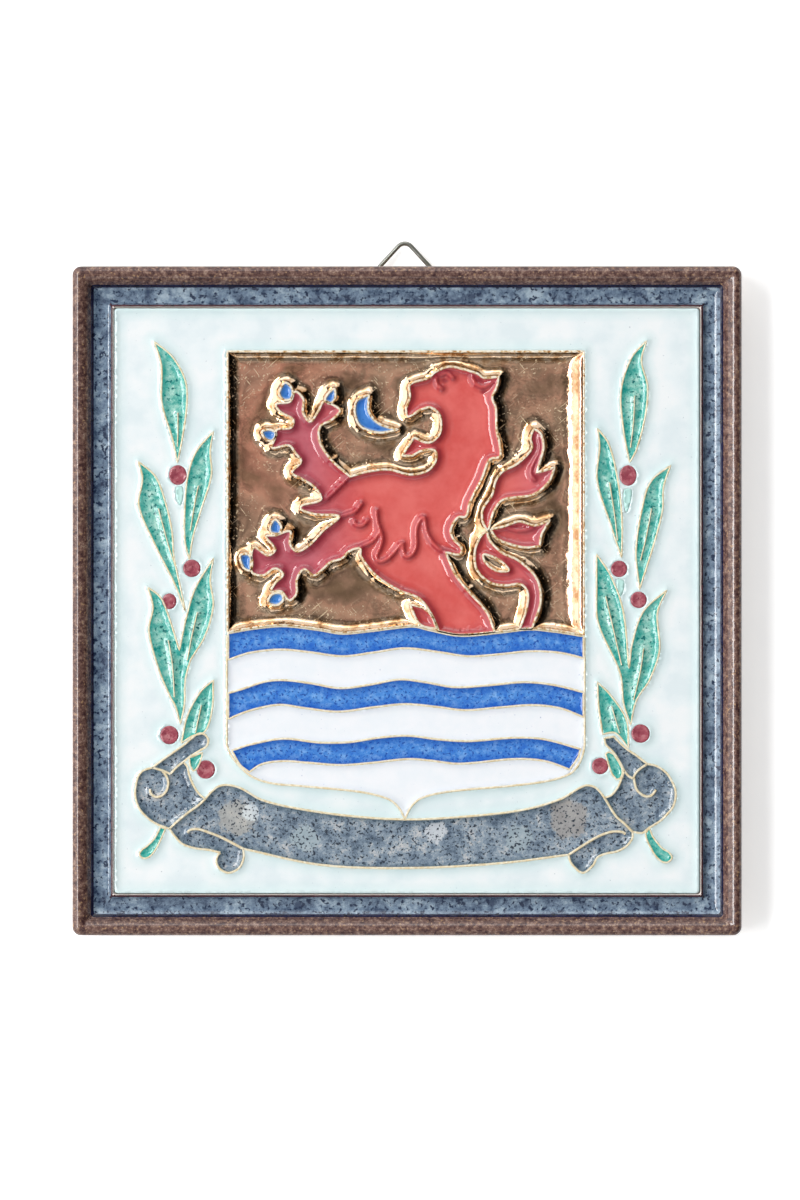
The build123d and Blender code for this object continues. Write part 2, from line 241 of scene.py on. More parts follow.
def add_lamp(name, place, size, power):
    """A soft rectangular lamp that looks at the tile."""
    bpy.ops.object.light_add(type="AREA", location=place)
    lamp = bpy.context.object
    lamp.name = name
    lamp.data.shape = "RECTANGLE"
    lamp.data.size, lamp.data.size_y = size
    lamp.data.energy = power
    lamp.rotation_euler = Vector(place).to_track_quat("Z", "Y").to_euler()
    print(name, "at", [round(v, 2) for v in place], "m,", power, "W")


for name, (place, size, power) in LAMPS.items():
    add_lamp(name, place, size, power)


# %% World
def set_world():
    """A dim room: patchy grey overhead, nearly dark low down, where only the lamps are."""
    world = bpy.data.worlds.new("studio")
    world.use_nodes = True
    direction = add_node(world, "TexCoord")
    parts = add_node(world, "SeparateXYZ", {"Vector": (direction, "Generated")})
    # Z is 0 at the horizon and 1 overhead, X is 1 at the far right.
    height = add_node(world, "MapRange", {
        "Value": (parts, "Z"), "From Min": 0.45, "From Max": 0.93, "To Min": 0.03,
        "To Max": 0.46})
    dark_side = add_node(world, "MapRange", {
        "Value": (parts, "X"), "From Min": 0.12, "From Max": 0.5, "To Min": 1.0, "To Max": 0.1})
    overhead = add_node(world, "MapRange", {
        "Value": (parts, "Z"), "From Min": 0.965, "From Max": 0.99, "To Min": 0.0,
        "To Max": 0.15})
    clutter = add_node(world, "TexNoise", {
        "Vector": (direction, "Generated"), "Scale": 6.0, "Detail": 3.0, "Roughness": 0.6})
    patches = add_node(world, "ValToRGB", {"Fac": clutter}, [(0.44, "#8a8a8a"), (0.54, WHITE)])
    patchy = add_node(world, "Math", {0: height, 1: patches}, operation="MULTIPLY")
    shaded = add_node(world, "Math", {0: patchy, 1: dark_side}, operation="MULTIPLY")
    brightness = add_node(world, "Math", {0: shaded, 1: overhead}, operation="ADD")
    background = world.node_tree.nodes["Background"]
    background.inputs["Color"].default_value = linear(WHITE)
    world.node_tree.links.new(brightness.outputs["Value"], background.inputs["Strength"])
    bpy.context.scene.world = world
    print("world:", len(world.node_tree.nodes), "nodes")


set_world()

# %% [markdown]
# ## The glazes
# Every pool is a lead-type glaze over pale clay: a glassy coat of index about 1.5, smooth from its
# own melting. Where it lies thin on a clay line it lightens, and where it pools it is deeper. Fine
# specks are pigment that didn't melt in. One function makes all the plain ones, each from its own
# colours and from the real size of its spots.

# %% Pooled glazes
def glaze(name, mottle, speck, speck_share, line_tint, line_share, mottle_mm=1.6, speck_mm=0.22,
          tint_mm=1.1, grain=0.6, ripple_mm=2.2, ripple_depth=0.02, patches=()):
    """A pooled glaze: mottled colours, specks, pale patches, and a tint near the clay lines."""
    material = new_material(name)
    clouds = mottling(material, mottle_mm, detail=5.0, roughness=grain)
    body = add_node(material, "ValToRGB", {"Fac": clouds}, even_stops(mottle, 0.36, 0.28))
    for centre, reach_mm, colour in patches:
        frayed = mottling(material, 1.8, detail=5.0, roughness=0.8)
        ragged = add_node(material, "Math", {
            0: away_from(material, centre, reach_mm), 1: frayed}, operation="ADD")
        share = add_node(material, "ValToRGB", {"Fac": ragged}, [(0.92, "#d8d8d8"), (1.0, BLACK)])
        body = add_node(material, "MixRGB", {
            "Fac": share, "Color1": body, "Color2": linear(colour)})
    grit = mottling(material, speck_mm, detail=1.0)
    first = 0.74 - 3 * speck_share
    spot = add_node(material, "ValToRGB", {"Fac": grit}, [(first, BLACK), (first + 0.08, WHITE)])
    dotted = add_node(material, "MixRGB", {"Fac": spot, "Color1": body, "Color2": linear(speck)})
    share = add_node(material, "Math", {0: near_line(material, tint_mm), 1: line_share},
                     operation="MULTIPLY")
    tinted = add_node(material, "MixRGB", {
        "Fac": share, "Color1": dotted, "Color2": linear(line_tint)})
    surface(material, {"Base Color": tinted, "Roughness": 0.09, "IOR": 1.52},
            mottling(material, ripple_mm), ripple_depth)
    return material


RIBBON_PATCHES = [((237, 817), 6.0, "#b5b2ab"), ((251, 812), 3.0, "#e6eef2"),
                  ((568, 818), 6.5, "#a8a19a"), ((436, 832), 3.4, "#d9dde2"),
                  ((305, 838), 4.4, "#a9b9c0"), ((520, 838), 4.4, "#a4b4bc")]
FINISH = {
    # Tin makes these two opaque: milky and even, with soft pale streaks where lamps show in them.
    "panel": glaze("pale_blue_tin_glaze", ["#e6f1f4", "#eff7f9", "#f6fafb"], "#b9c4cc", 0.0,
                   "#cdeaea", 0.6, mottle_mm=2.4, tint_mm=2.2, grain=0.5),
    "shield": glaze("white_tin_glaze", ["#f2f7fc", "#f8fafe"], "#c3cbe0", 0.0, "#dfe8f4", 0.5),
    # Cobalt, brushed on: cloudy in its middle and deepest along the lines.
    "wave": glaze("royal_blue_glaze", ["#2a70d2", "#4a90de", "#82b8f0"], "#1d4da6", 0.05,
                  "#1450b8", 0.75, mottle_mm=0.8, tint_mm=1.8, grain=0.8, ripple_mm=0.8,
                  ripple_depth=0.03),
    # Copper, not quite melted through: broken light and dark green, with a crusty gloss.
    "leaf": glaze("turquoise_green_glaze", ["#2b958a", "#68baac", "#9ad2c4", "#c8ebe0"],
                  "#0c6a68", 0.05, "#1eb2a8", 0.7, mottle_mm=0.8, speck_mm=0.28, tint_mm=1.5,
                  grain=0.8, ripple_mm=0.5, ripple_depth=0.08),
    "bud": glaze("pale_aqua_glaze", ["#bfe9e2", "#cdf1ea"], "#8fc9c0", 0.0, "#a8dcd4", 0.4),
    # Small round drops, so each shows one sharp spot of light.
    "berry": glaze("wine_red_glaze", ["#8a3446", "#a44d5a", "#c07c82"], "#6e2636", 0.04,
                   "#b0606a", 0.4, mottle_mm=0.5, ripple_mm=0.6, ripple_depth=0.04),
    "claw": glaze("cobalt_glaze", ["#2f6fc6", "#4688d4"], "#1f54a4", 0.03, "#a9c8e0", 0.7,
                  tint_mm=0.5),
    # A stony glaze: dark grit in grey blue, with frayed patches where it turned pale.
    "ribbon": glaze("blue_grey_glaze", ["#47576a", "#6f8193", "#94a3b0", "#c8c8c8"], "#2f3845",
                    0.055, "#4b6470", 0.7, mottle_mm=2.0, speck_mm=0.2, tint_mm=0.9,
                    grain=0.9, ripple_mm=0.6, ripple_depth=0.06, patches=RIBBON_PATCHES),
}
print("pooled glazes:", sorted(FINISH))

# %% [markdown]
# The beast's glaze is clear enough to pool: coral on the body, rose on the paws and the tail, and
# darkest a little way in from its lines and folds, where it lies thickest and where painted shade
# deepens it. The eye and the ear get painted shade too. It is the glossiest one.

# %% Coral glaze
BEAST_MIDDLE = (436, 490)
EYE_AND_EAR_SHADE_SPOTS = ((445, 380), (480, 379), (484, 391))


def coral_glaze():
    """Two reds, a band of thick glaze and painted shade by the lines, and painted shade in eye and
    ear.
    """
    material = new_material("coral_glaze")
    clouds = mottling(material, 2.4, detail=4.0, roughness=0.6)
    coral = add_node(material, "ValToRGB", {"Fac": clouds}, [(0.35, "#d95752"), (0.65, "#e56d67")])
    rose = add_node(material, "ValToRGB", {"Fac": clouds}, [(0.35, "#b85462"), (0.65, "#cd6c78")])
    far = away_from(material, BEAST_MIDDLE, 24.0, tall=2.2)
    share = add_node(material, "ValToRGB", {"Fac": far}, [(0.45, BLACK), (0.85, WHITE)])
    colour = add_node(material, "MixRGB", {"Fac": share, "Color1": coral, "Color2": rose})
    # Beside the lines and folds the glaze lies thick, and this darker band is painted shade as well.
    for line, reach in (("line_distance", 1.9), ("fold_distance", 1.2)):
        thick_glaze_and_shade = add_node(material, "ValToRGB", {"Fac": near_line(material, reach, line)},
                         [(0.0, BLACK), (0.4, "#707070"), (0.7, "#d4d4d4"), (0.93, "#707070")])
        colour = add_node(material, "MixRGB", {
            "Fac": thick_glaze_and_shade, "Color1": colour, "Color2": linear("#97283c")})
    # Painted shade in the hollows of the eye and the ear.
    for spot in EYE_AND_EAR_SHADE_SPOTS:
        hollow = add_node(material, "ValToRGB", {"Fac": away_from(material, spot, 0.8, tall=0.7)},
                          [(0.3, "#e0e0e0"), (1.0, BLACK)])
        colour = add_node(material, "MixRGB", {
            "Fac": hollow, "Color1": colour, "Color2": linear("#8a2233")})
    surface(material, {"Base Color": colour, "Roughness": 0.07, "IOR": 1.6},
            mottling(material, 1.4, detail=3.0), 0.03)
    return material


FINISH["beast"] = coral_glaze()
print("made", FINISH["beast"].name)

# %% [markdown]
# ## Gold lustre
# Bright gold is painted on and fired last. It is a thin metal skin on the glaze: a mirror with soft
# hollows, fine scratches and crumbs, worn through to cream in places. It is coppery at the upper
# left and duller elsewhere, and its slopes by the lines get a pale, streaky painted highlight.

# %% Gold lustre
COPPERY_PLACE = (262, 395)
SCRATCH_WIDTH_MM = 0.14


def scratches(material, angle, length_mm, width_mm):
    """Fine straight marks, all one way: 1 on a mark and 0 beside it."""
    place = add_node(material, "TexCoord")
    turned = add_node(material, "Mapping", {
        "Vector": (place, "Object"), "Rotation": (0, 0, angle),
        "Scale": (2 * length_mm * MM, 2 * width_mm * MM, 1)}, vector_type="TEXTURE")
    grain = add_node(material, "TexNoise", {"Vector": turned, "Scale": 1.0, "Detail": 1.0})
    return add_node(material, "ValToRGB", {"Fac": grain}, [(0.67, BLACK), (0.74, WHITE)])


def gold_colour(material, clouds):
    """Copper to taupe on the floor, with a pale, streaky painted highlight on the slopes."""
    copper = add_node(material, "ValToRGB", {"Fac": clouds}, [
        (0.38, "#b5856a"), (0.46, "#e39f84"), (0.5, "#f0ac8e"), (0.6, "#e0a98e")])
    taupe = add_node(material, "ValToRGB", {"Fac": clouds}, [
        (0.38, "#92795f"), (0.46, "#b3937a"), (0.49, "#d9a98c"), (0.55, "#dfb596"),
        (0.62, "#b59a7e")])
    far = add_node(material, "ValToRGB", {
        "Fac": away_from(material, COPPERY_PLACE, 20.0, tall=1.6)},
                   [(0.3, BLACK), (0.8, "#e0e0e0")])
    floor = add_node(material, "MixRGB", {"Fac": far, "Color1": copper, "Color2": taupe})
    # Painted highlight: the slopes beside the lines are turned pale and streaky.
    slope_highlight = add_node(material, "ValToRGB", {"Fac": near_line(material, 2.2)},
                     [(0.1, BLACK), (0.4, WHITE)])
    streaks = mottling(material, 1.2, detail=3.0, roughness=0.6)
    pale = add_node(material, "ValToRGB", {"Fac": streaks}, [
        (0.38, "#b98a60"), (0.46, "#e0b68c"), (0.54, "#f2d2b2")])
    return add_node(material, "MixRGB", {"Fac": slope_highlight, "Color1": floor, "Color2": pale})


def worn_share(material, clouds):
    """How far the gold is gone: specks and two ways of scratches, fewer where it wore less."""
    marks = add_node(material, "ValToRGB", {"Fac": mottling(material, 0.2, detail=1.0)},
                     [(0.63, BLACK), (0.72, WHITE)])
    for angle, length_mm in ((0.7, 2.5), (-0.9, 1.6)):
        lines = scratches(material, angle, length_mm, SCRATCH_WIDTH_MM)
        marks = add_node(material, "MixRGB", {"Fac": 1.0, "Color1": marks, "Color2": lines},
                         blend_type="LIGHTEN")
    worn = add_node(material, "ValToRGB", {"Fac": clouds}, [(0.42, "#505050"), (0.6, "#e0e0e0")])
    return add_node(material, "MixRGB", {"Fac": 1.0, "Color1": marks, "Color2": worn},
                    blend_type="MULTIPLY")


def gold_lustre():
    """Bright gold fired over the glaze: a mirror with fine scratches and soft hollows."""
    material = new_material("gold_lustre")
    clouds = mottling(material, 4.0, detail=4.0)
    share = worn_share(material, clouds)
    colour = add_node(material, "MixRGB", {
        "Fac": share, "Color1": gold_colour(material, clouds), "Color2": linear("#ead2ac")})
    metal = add_node(material, "Math", {0: 1.0, 1: share}, operation="SUBTRACT")
    hollows = add_node(material, "Bump", {
        "Height": mottling(material, 3.0, detail=0.0), "Distance": 0.3 * MM, "Strength": 1.0})
    where = add_node(material, "ValToRGB", {"Fac": mottling(material, 5.0)},
                     [(0.48, BLACK), (0.56, WHITE)])
    crumbs = add_node(material, "MixRGB", {
        "Fac": 1.0, "Color1": (mottling(material, 0.5), "Color"), "Color2": where},
                      blend_type="MULTIPLY")
    uneven = add_node(material, "Bump", {
        "Height": crumbs, "Distance": 0.06 * MM, "Strength": 0.8, "Normal": hollows})
    surface(material, {"Base Color": colour, "Metallic": metal, "Roughness": 0.12,
                       "Normal": uneven})
    return material


FINISH["gold"] = gold_lustre()
print("made", FINISH["gold"].name)

# %% [markdown]
# ## Clay and the frame's glazes
# Fired clay with no glaze is matt and pale, with fine grit. The lines round the gold caught some of
# it, so they are warm and a little shiny. The frame's glazes have no lines to climb at: they are
# mottled and flecked, and glossy enough to break up the lamps.

# %% Clay and frame glazes
def bare_clay(name, light, dark):
    """Fired clay with no glaze: matt, pale, with fine grit."""
    material = new_material(name)
    grit = mottling(material, 0.25, detail=3.0)
    tone = add_node(material, "ValToRGB", {"Fac": grit}, [(0.35, dark), (0.65, light)])
    surface(material, {"Base Color": tone, "Roughness": 0.45, "IOR": 1.5}, grit, 0.03)
    return material


def gilt_slip():
    """Clay lines that caught some of the gold: cream, warm and a little shiny."""
    material = new_material("gilt_slip_line")
    grit = mottling(material, 0.25)
    tone = add_node(material, "ValToRGB", {"Fac": grit}, [
        (0.34, "#b98650"), (0.42, "#ecd0a2"), (0.56, "#fff6e2")])
    surface(material, {"Base Color": tone, "Metallic": 0.1, "Roughness": 0.25}, grit, 0.08)
    return material


def frame_glaze(name, mottle, mottle_mm, speck, speck_mm, speck_from, ripple_depth=0.05):
    """The frame's own glazes: no clay lines, fine mottling and flecks."""
    material = new_material(name)
    clouds = mottling(material, mottle_mm, detail=6.0, roughness=0.8)
    body = add_node(material, "ValToRGB", {"Fac": clouds}, even_stops(mottle, 0.38, 0.26))
    spot = add_node(material, "ValToRGB", {"Fac": mottling(material, speck_mm)},
                    [(speck_from, BLACK), (speck_from + 0.07, WHITE)])
    dotted = add_node(material, "MixRGB", {"Fac": spot, "Color1": body, "Color2": linear(speck)})
    surface(material, {"Base Color": dotted, "Roughness": 0.1, "IOR": 1.6},
            mottling(material, 0.6, detail=3.0), ripple_depth)
    return material


FINISH["clay_line"] = bare_clay("cream_slip_line", "#f8efd6", "#e6d2a6")
FINISH["lip"] = bare_clay("pink_white_slip", "#fdf3ee", "#f3e0d6")
FINISH["bisque"] = bare_clay("buff_fired_clay", "#e2cdb4", "#cfb396")
FINISH["gilt_line"] = gilt_slip()
FINISH["rim"] = frame_glaze("brown_rim_glaze", ["#3f292b", "#624742", "#84655a", "#b29a8a"], 0.4,
                            "#b08c68", 0.2, 0.63)
FINISH["channel"] = frame_glaze("slate_blue_glaze", ["#3e4e68", "#778ca2", "#b0c2cf"], 1.3,
                                "#26344e", 0.3, 0.56, ripple_depth=0.025)
FINISH["seam"] = frame_glaze("navy_seam_glaze", ["#15172c", "#26284a"], 0.5, "#0e1020", 0.3, 0.6)
FINISH["step"] = frame_glaze("aubergine_glaze", ["#341a22", "#4a2830", "#603840"], 0.5,
                             "#24121a", 0.3, 0.6)
print("finishes:", sorted(FINISH))

# %% [markdown]
# ## The clay body
# The body starts as a flat block. Its upright corners and its top edge are rounded, and the frame's
# moulding is stepped into the top face: it is extruded and scaled in a little, once for each small
# change of the section. Scaling a square about its middle keeps its corners on the diagonal, as the
# mitred corners of the real frame are.

# %% Helpers for modelling
def start_clean():
    if bpy.context.object and bpy.context.object.mode != "OBJECT":
        bpy.ops.object.mode_set(mode="OBJECT")
    bpy.ops.object.select_all(action="DESELECT")


def add_block(name, size, centre):
    """A cube primitive of the given size, its place kept in its mesh."""
    start_clean()
    bpy.ops.mesh.primitive_cube_add(size=1)
    block = bpy.context.object
    block.name = name
    bpy.ops.object.mode_set(mode="EDIT")
    bpy.ops.transform.resize(value=[s * MM for s in size])
    bpy.ops.transform.translate(value=[c * MM for c in centre])
    return block


def pick(block, kind, test):
    """Select only the faces or edges of the mesh that pass a test."""
    mesh = bmesh.from_edit_mesh(block.data)
    bpy.ops.mesh.select_all(action="DESELECT")
    for item in getattr(mesh, kind):
        item.select_set(test(item))
    mesh.select_flush_mode()
    bmesh.update_edit_mesh(block.data)


def upright(edge):
    a, b = (v.co for v in edge.verts)
    return abs(a.z - b.z) > 1 * MM and (a - b).xy.length < 0.1 * MM


def both_at(height):
    return lambda edge: all(abs(v.co.z - height * MM) < 0.01 * MM for v in edge.verts)


def round_edges(block, test, radius, segments):
    bpy.ops.mesh.select_mode(type="EDGE")
    pick(block, "edges", test)
    bpy.ops.mesh.bevel(offset=radius * MM, segments=segments, profile=0.5, affect="EDGES")
    bpy.ops.mesh.select_mode(type="FACE")


def smooth(piece, degrees):
    start_clean()
    piece.select_set(True)
    bpy.context.view_layer.objects.active = piece
    bpy.ops.object.shade_smooth_by_angle(angle=math.radians(degrees))


# %% [markdown]
# The section of the frame, from the crest inwards, is a list of steps: how far in, and how far up
# or down. The brown rim falls in a round slope, the blue channel is a hollow, and a short steep
# step leads up to the cream edge of the picture.

# %% Section of the frame
CREST_INSET = 1.3
RIM_RADIUS, RIM_FIRST_TILT, RIM_LAST_TILT, RIM_STEPS = 2.2, 9.5, 69.5, 9
COVE_RADIUS, COVE_FIRST_TILT, COVE_STEPS = 2.44, 59.5, 8
COVE_END_INSET, CHANNEL_HEIGHT = 5.1, 7.0
STEP_INSET, STEP_TOP_INSET, STEP_HEIGHT = 6.0, 6.38, 8.1
POOL_EDGE_INSET = 6.62
STEP_AND_LIP = [(5.6, CHANNEL_HEIGHT), (STEP_INSET, 7.1), (6.28, 7.8), (6.4, 8.05),
                (6.48, STEP_HEIGHT), (POOL_EDGE_INSET, STEP_HEIGHT), (6.72, 7.95),
                (6.82, POOL_BOTTOM)]


def frame_section():
    """Points (inset, height) from the crest to the edge of the picture."""
    points = []
    first = math.radians(RIM_FIRST_TILT)
    for i in range(RIM_STEPS + 1):
        tilt = math.radians(RIM_FIRST_TILT + (RIM_LAST_TILT - RIM_FIRST_TILT) * i / RIM_STEPS)
        points.append((CREST_INSET + RIM_RADIUS * (math.sin(tilt) - math.sin(first)),
                       CREST_HEIGHT - RIM_RADIUS * (math.cos(first) - math.cos(tilt))))
    for i in range(1, COVE_STEPS + 1):
        tilt = math.radians(COVE_FIRST_TILT * (1 - i / COVE_STEPS))
        points.append((COVE_END_INSET - COVE_RADIUS * math.sin(tilt),
                       CHANNEL_HEIGHT + COVE_RADIUS * (1 - math.cos(tilt))))
    return points + STEP_AND_LIP


print("steps in the section:", len(frame_section()))

# %% Clay body
LOWER_EDGE_ROUNDING = 0.5


def make_body():
    top_thickness = CREST_HEIGHT - FOOT_HEIGHT
    block = add_block("clay_body", (TILE_SIDE, TILE_SIDE, top_thickness),
                      (0, 0, FOOT_HEIGHT + top_thickness / 2))
    round_edges(block, upright, CORNER_RADIUS, 8)
    round_edges(block, both_at(CREST_HEIGHT), CREST_ROUNDING, 6)
    round_edges(block, both_at(FOOT_HEIGHT), LOWER_EDGE_ROUNDING, 3)
    pick(block, "faces", lambda f: f.normal.z > 0.99)
    inset, height = CREST_ROUNDING, CREST_HEIGHT
    for next_inset, next_height in frame_section():
        rise = (0, 0, (next_height - height) * MM)
        bpy.ops.mesh.extrude_region_move(TRANSFORM_OT_translate={"value": rise})
        narrower = (HALF_SIDE - next_inset) / (HALF_SIDE - inset)
        bpy.ops.transform.resize(value=(narrower, narrower, 1), center_override=(0, 0, 0))
        inset, height = next_inset, next_height
    bpy.ops.mesh.select_all(action="SELECT")
    bpy.ops.mesh.normals_make_consistent(inside=False)
    bpy.ops.object.mode_set(mode="OBJECT")
    return block


body = make_body()

# %% [markdown]
# Each ring of the frame has its own glaze. A ring is known by how far in from the edge its faces
# lie. The brown one runs down the sides and stops short of the underside, which is bare.

# %% Glazes of the frame
GLAZE_LOWER_EDGE = FOOT_HEIGHT + 0.8
FACES_DOWN = -0.2
RINGS = [("rim", 2.95), ("seam", 3.35), ("channel", STEP_INSET - 0.1), ("step", STEP_TOP_INSET),
         ("lip", TILE_SIDE)]


def colour_body(body):
    """Give each ring of faces its glaze, by how far in from the edge it lies."""
    names = [name for name, _ in RINGS] + ["bisque"]
    for name in names:
        body.data.materials.append(FINISH[name])
    for face in body.data.polygons:
        centre = face.center / MM
        inset = HALF_SIDE - max(abs(centre.x), abs(centre.y))
        finish = next(name for name, end in RINGS if inset < end)
        if face.normal.z < FACES_DOWN or centre.z < GLAZE_LOWER_EDGE:
            finish = "bisque"
        face.material_index = names.index(finish)


colour_body(body)
smooth(body, 40)
print("body faces:", len(body.data.polygons))
print("body size, mm:", [round(v / MM, 2) for v in body.dimensions])

# %% [markdown]
# ## The foot rim
# The back is a square foot rim that the tile lies on, with a hollow inside it. It is a block with
# rounded corners, less a smaller one, and two small holes through its top length for the wire.

# %% Foot rim
FOOT_INSET, FOOT_WIDTH, FOOT_CORNER_RADIUS = 8.0, 5.0, 3.0
FOOT_EDGE_ROUNDING, SUNK_INTO_BODY = 0.4, 0.2
HOLE_DIAMETER, HOLE_HEIGHT, LOOP_OFFSET, LEG_HALF_SPREAD = 1.1, 1.75, -0.35, 10.6


def cut_away(piece, cutter):
    """Take one solid out of another."""
    start_clean()
    bpy.context.view_layer.objects.active = piece
    cut = piece.modifiers.new("cut", "BOOLEAN")
    cut.object = cutter
    cut.operation = "DIFFERENCE"
    cut.solver = "EXACT"
    bpy.ops.object.modifier_apply(modifier=cut.name)
    bpy.data.objects.remove(cutter)


def make_foot():
    outside = TILE_SIDE - 2 * FOOT_INSET
    height = FOOT_HEIGHT + SUNK_INTO_BODY
    foot = add_block("foot_rim", (outside, outside, height), (0, 0, height / 2))
    round_edges(foot, upright, FOOT_CORNER_RADIUS, 8)
    round_edges(foot, both_at(0), FOOT_EDGE_ROUNDING, 3)
    inside = outside - 2 * FOOT_WIDTH
    hollow = add_block("hollow", (inside, inside, height * 2), (0, 0, height / 2))
    round_edges(hollow, upright, FOOT_CORNER_RADIUS, 8)
    bpy.ops.object.mode_set(mode="OBJECT")
    cut_away(foot, hollow)
    for side in (-1, 1):
        start_clean()
        place = (LOOP_OFFSET + side * LEG_HALF_SPREAD, HALF_SIDE - FOOT_INSET - FOOT_WIDTH / 2,
                 HOLE_HEIGHT)
        bpy.ops.mesh.primitive_cylinder_add(
            vertices=24, radius=HOLE_DIAMETER / 2 * MM, depth=FOOT_WIDTH * 2 * MM,
            location=[v * MM for v in place], rotation=(math.pi / 2, 0, 0))
        cut_away(foot, bpy.context.object)
    foot.data.materials.append(FINISH["bisque"])
    return foot


foot = make_foot()
smooth(foot, 35)
print("foot faces:", len(foot.data.polygons))

# %% [markdown]
# ## The drawing
# The picture is a few dozen outlines. Each is a list of runs: a run is one smooth curve through its
# points, or a straight line when it has two, and runs meet at the picture's corners. The points are
# on the drawing's own grid. The shield stands on its point, with the gold field in its upper part
# and three bands of waves below.

# %% Outlines of the shield
SHIELD = [
    [(226.6, 745), (226.6, 350)],
    [(226.6, 350), (585, 350)],
    [(585, 350), (585, 745)],
    [(585, 745), (583, 755), (578, 766), (570, 774), (548, 781), (510, 786), (450, 791.5),
     (422, 798), (411, 807), (405, 819)],
    [(405, 819), (399, 808), (388, 799), (360, 792), (300, 786), (270, 783), (249, 775),
     (232, 757), (226.6, 745)],
]
FIELD = [
    [(227.2, 632), (227.2, 350.6)],
    [(227.2, 350.6), (584.4, 350.6)],
    [(584.4, 350.6), (584.4, 635)],
    [(584.4, 635), (555, 630.5), (530, 628.3), (500, 631.5), (460, 634.6), (430, 629),
     (415, 625.5), (400, 626.3), (370, 630), (342, 632.5), (320, 629), (283, 625),
     (250, 628), (227.2, 632)],
]
WAVES = [
    [[(228, 633), (250, 629), (283, 626), (320, 630), (342, 633.5), (370, 631), (400, 627.3),
      (415, 626.5), (430, 630), (460, 635.6), (500, 632.5), (530, 629.3), (555, 631.5),
      (584, 636)],
     [(584, 636), (584, 658)],
     [(584, 658), (560, 652.5), (530, 651), (500, 654), (468, 656), (440, 652), (405, 648),
      (375, 652), (343, 656), (310, 652), (280, 649.3), (250, 652.5), (228, 659.5)],
     [(228, 659.5), (228, 633)]],
    [[(228, 693), (240, 689.5), (265, 681.5), (284, 680), (310, 683), (340, 688), (370, 684.5),
      (400, 679.3), (425, 682), (455, 687), (490, 685), (525, 682), (555, 685), (584, 692)],
     [(584, 692), (584, 717)],
     [(584, 717), (560, 708), (533, 705), (500, 707.3), (465, 710), (435, 706.5), (405, 704),
      (375, 707), (338, 711.5), (305, 708), (278, 704.7), (248, 711), (228, 719)],
     [(228, 719), (228, 693)]],
    [[(231.5, 750.5), (250, 744.5), (283, 738.7), (320, 742.5), (350, 742), (380, 737.5),
      (408, 735.7), (440, 739.5), (470, 741), (515, 737.6), (545, 739.3), (581, 749)],
     [(581, 749), (578, 758), (570, 769.5)],
     [(570, 769.5), (545, 761), (515, 759), (460, 763.7), (430, 760.5), (408, 759), (370, 763),
      (340, 765), (305, 762.5), (283, 761), (262, 764), (249, 772)],
     [(249, 772), (240, 765), (231.5, 750.5)]],
]
print("wave bands:", len(WAVES))

# %% [markdown]
# The beast rises out of the waves, with open jaws, raised paws and a branching tail. Its body is one
# outline. The folds are lines inside it, where the glaze stands up over a ridge in the clay.

# %% Outlines of the beast
BEAST = [
    [(350, 476), (331, 459), (320, 442), (320, 426), (332, 419), (340, 410), (336, 406),
     (324, 401), (318, 411), (310, 421), (303, 412), (303, 398), (295, 391), (290, 401),
     (276, 403.5), (280, 411), (293, 419), (291, 427), (277, 429), (275, 437), (272, 447),
     (289, 445), (295, 452), (301, 461), (292, 472), (303, 479), (315, 487), (321, 499),
     (302, 505), (301, 509), (317, 514), (339, 516), (323.5, 530), (309, 545), (297, 551),
     (290, 544), (290, 531), (275, 535), (266, 536), (275, 549), (268, 555), (254, 547),
     (251, 557), (252, 572), (263, 575), (275, 568), (283, 574), (275, 583), (271, 591),
     (281, 591), (289, 600), (296, 594), (297, 578), (304, 569), (314, 575), (323.5, 568),
     (330, 562), (342, 558), (349, 551), (360, 548), (361, 556), (376, 575), (399, 590),
     (419, 598), (431, 613), (439, 631)],
    [(439, 631), (460, 634.6), (495, 632)],
    [(495, 632), (487, 612), (467, 589), (455.5, 574), (446, 552)],
    [(446, 552), (460, 554), (462, 548), (453.5, 538.5), (451, 529), (458, 517), (466, 516),
     (470, 502), (482, 478), (490, 459), (500, 456), (500, 443.5), (497, 430), (496, 407),
     (492.5, 397), (497, 386), (499, 376)],
    [(499, 376), (484, 377), (478, 373), (462, 368), (449, 366), (436, 371), (429, 377),
     (410, 384), (410, 396), (406, 408)],
    [(406, 408), (408, 416), (421, 409), (431, 407), (440, 415), (440, 433), (429, 442),
     (414, 437)],
    [(414, 437), (410, 443.5), (402, 455)],
    [(402, 455), (412, 455), (422, 450), (435, 450), (436, 460), (428, 470), (410, 474),
     (389, 469), (368, 471), (350, 476)],
]
BEAST_FOLDS = [
    [(350, 476), (343, 482), (335, 490), (325, 499)],
    [(340, 516), (350, 513), (356, 510), (361, 503)],
    [(353, 520), (356, 524), (362, 525), (367, 520)],
    [(376, 510), (377, 521), (380, 530), (382, 538), (379, 549), (376, 557), (381, 561),
     (390, 556), (397, 548), (402, 543), (403, 550), (406, 556), (412, 554), (416, 545),
     (416, 530), (420, 519), (424, 517), (426, 529), (431, 540), (440, 549), (446, 552)],
    [(380, 530), (373, 540), (361, 546)],
    [(472, 375), (475, 382), (484, 386), (494, 380)],
    [(436, 377), (437, 384), (442, 388)],
    [(441, 374), (447, 372), (453, 377)],
    [(538, 436), (540, 446), (537, 456), (532, 466), (531, 474), (535, 479)],
    [(509, 528), (520, 530), (533, 528)],
    [(284, 452), (277, 445)],
]
REAR_PAW = [
    [(410, 604), (424, 608), (432, 616), (437, 629)],
    [(437, 629), (420, 624), (410, 604)],
]
TAIL_TUFT = [
    [(534, 428), (541, 433), (544, 446), (541, 459), (537, 472)],
    [(537, 472), (555, 467)],
    [(555, 467), (549, 481.5), (533.5, 494), (504, 499), (496, 507), (491.5, 518), (488, 529),
     (483, 521), (483, 509), (492.5, 494), (496, 480.5), (503, 471), (518, 463), (532, 448),
     (531, 437), (534, 428)],
]
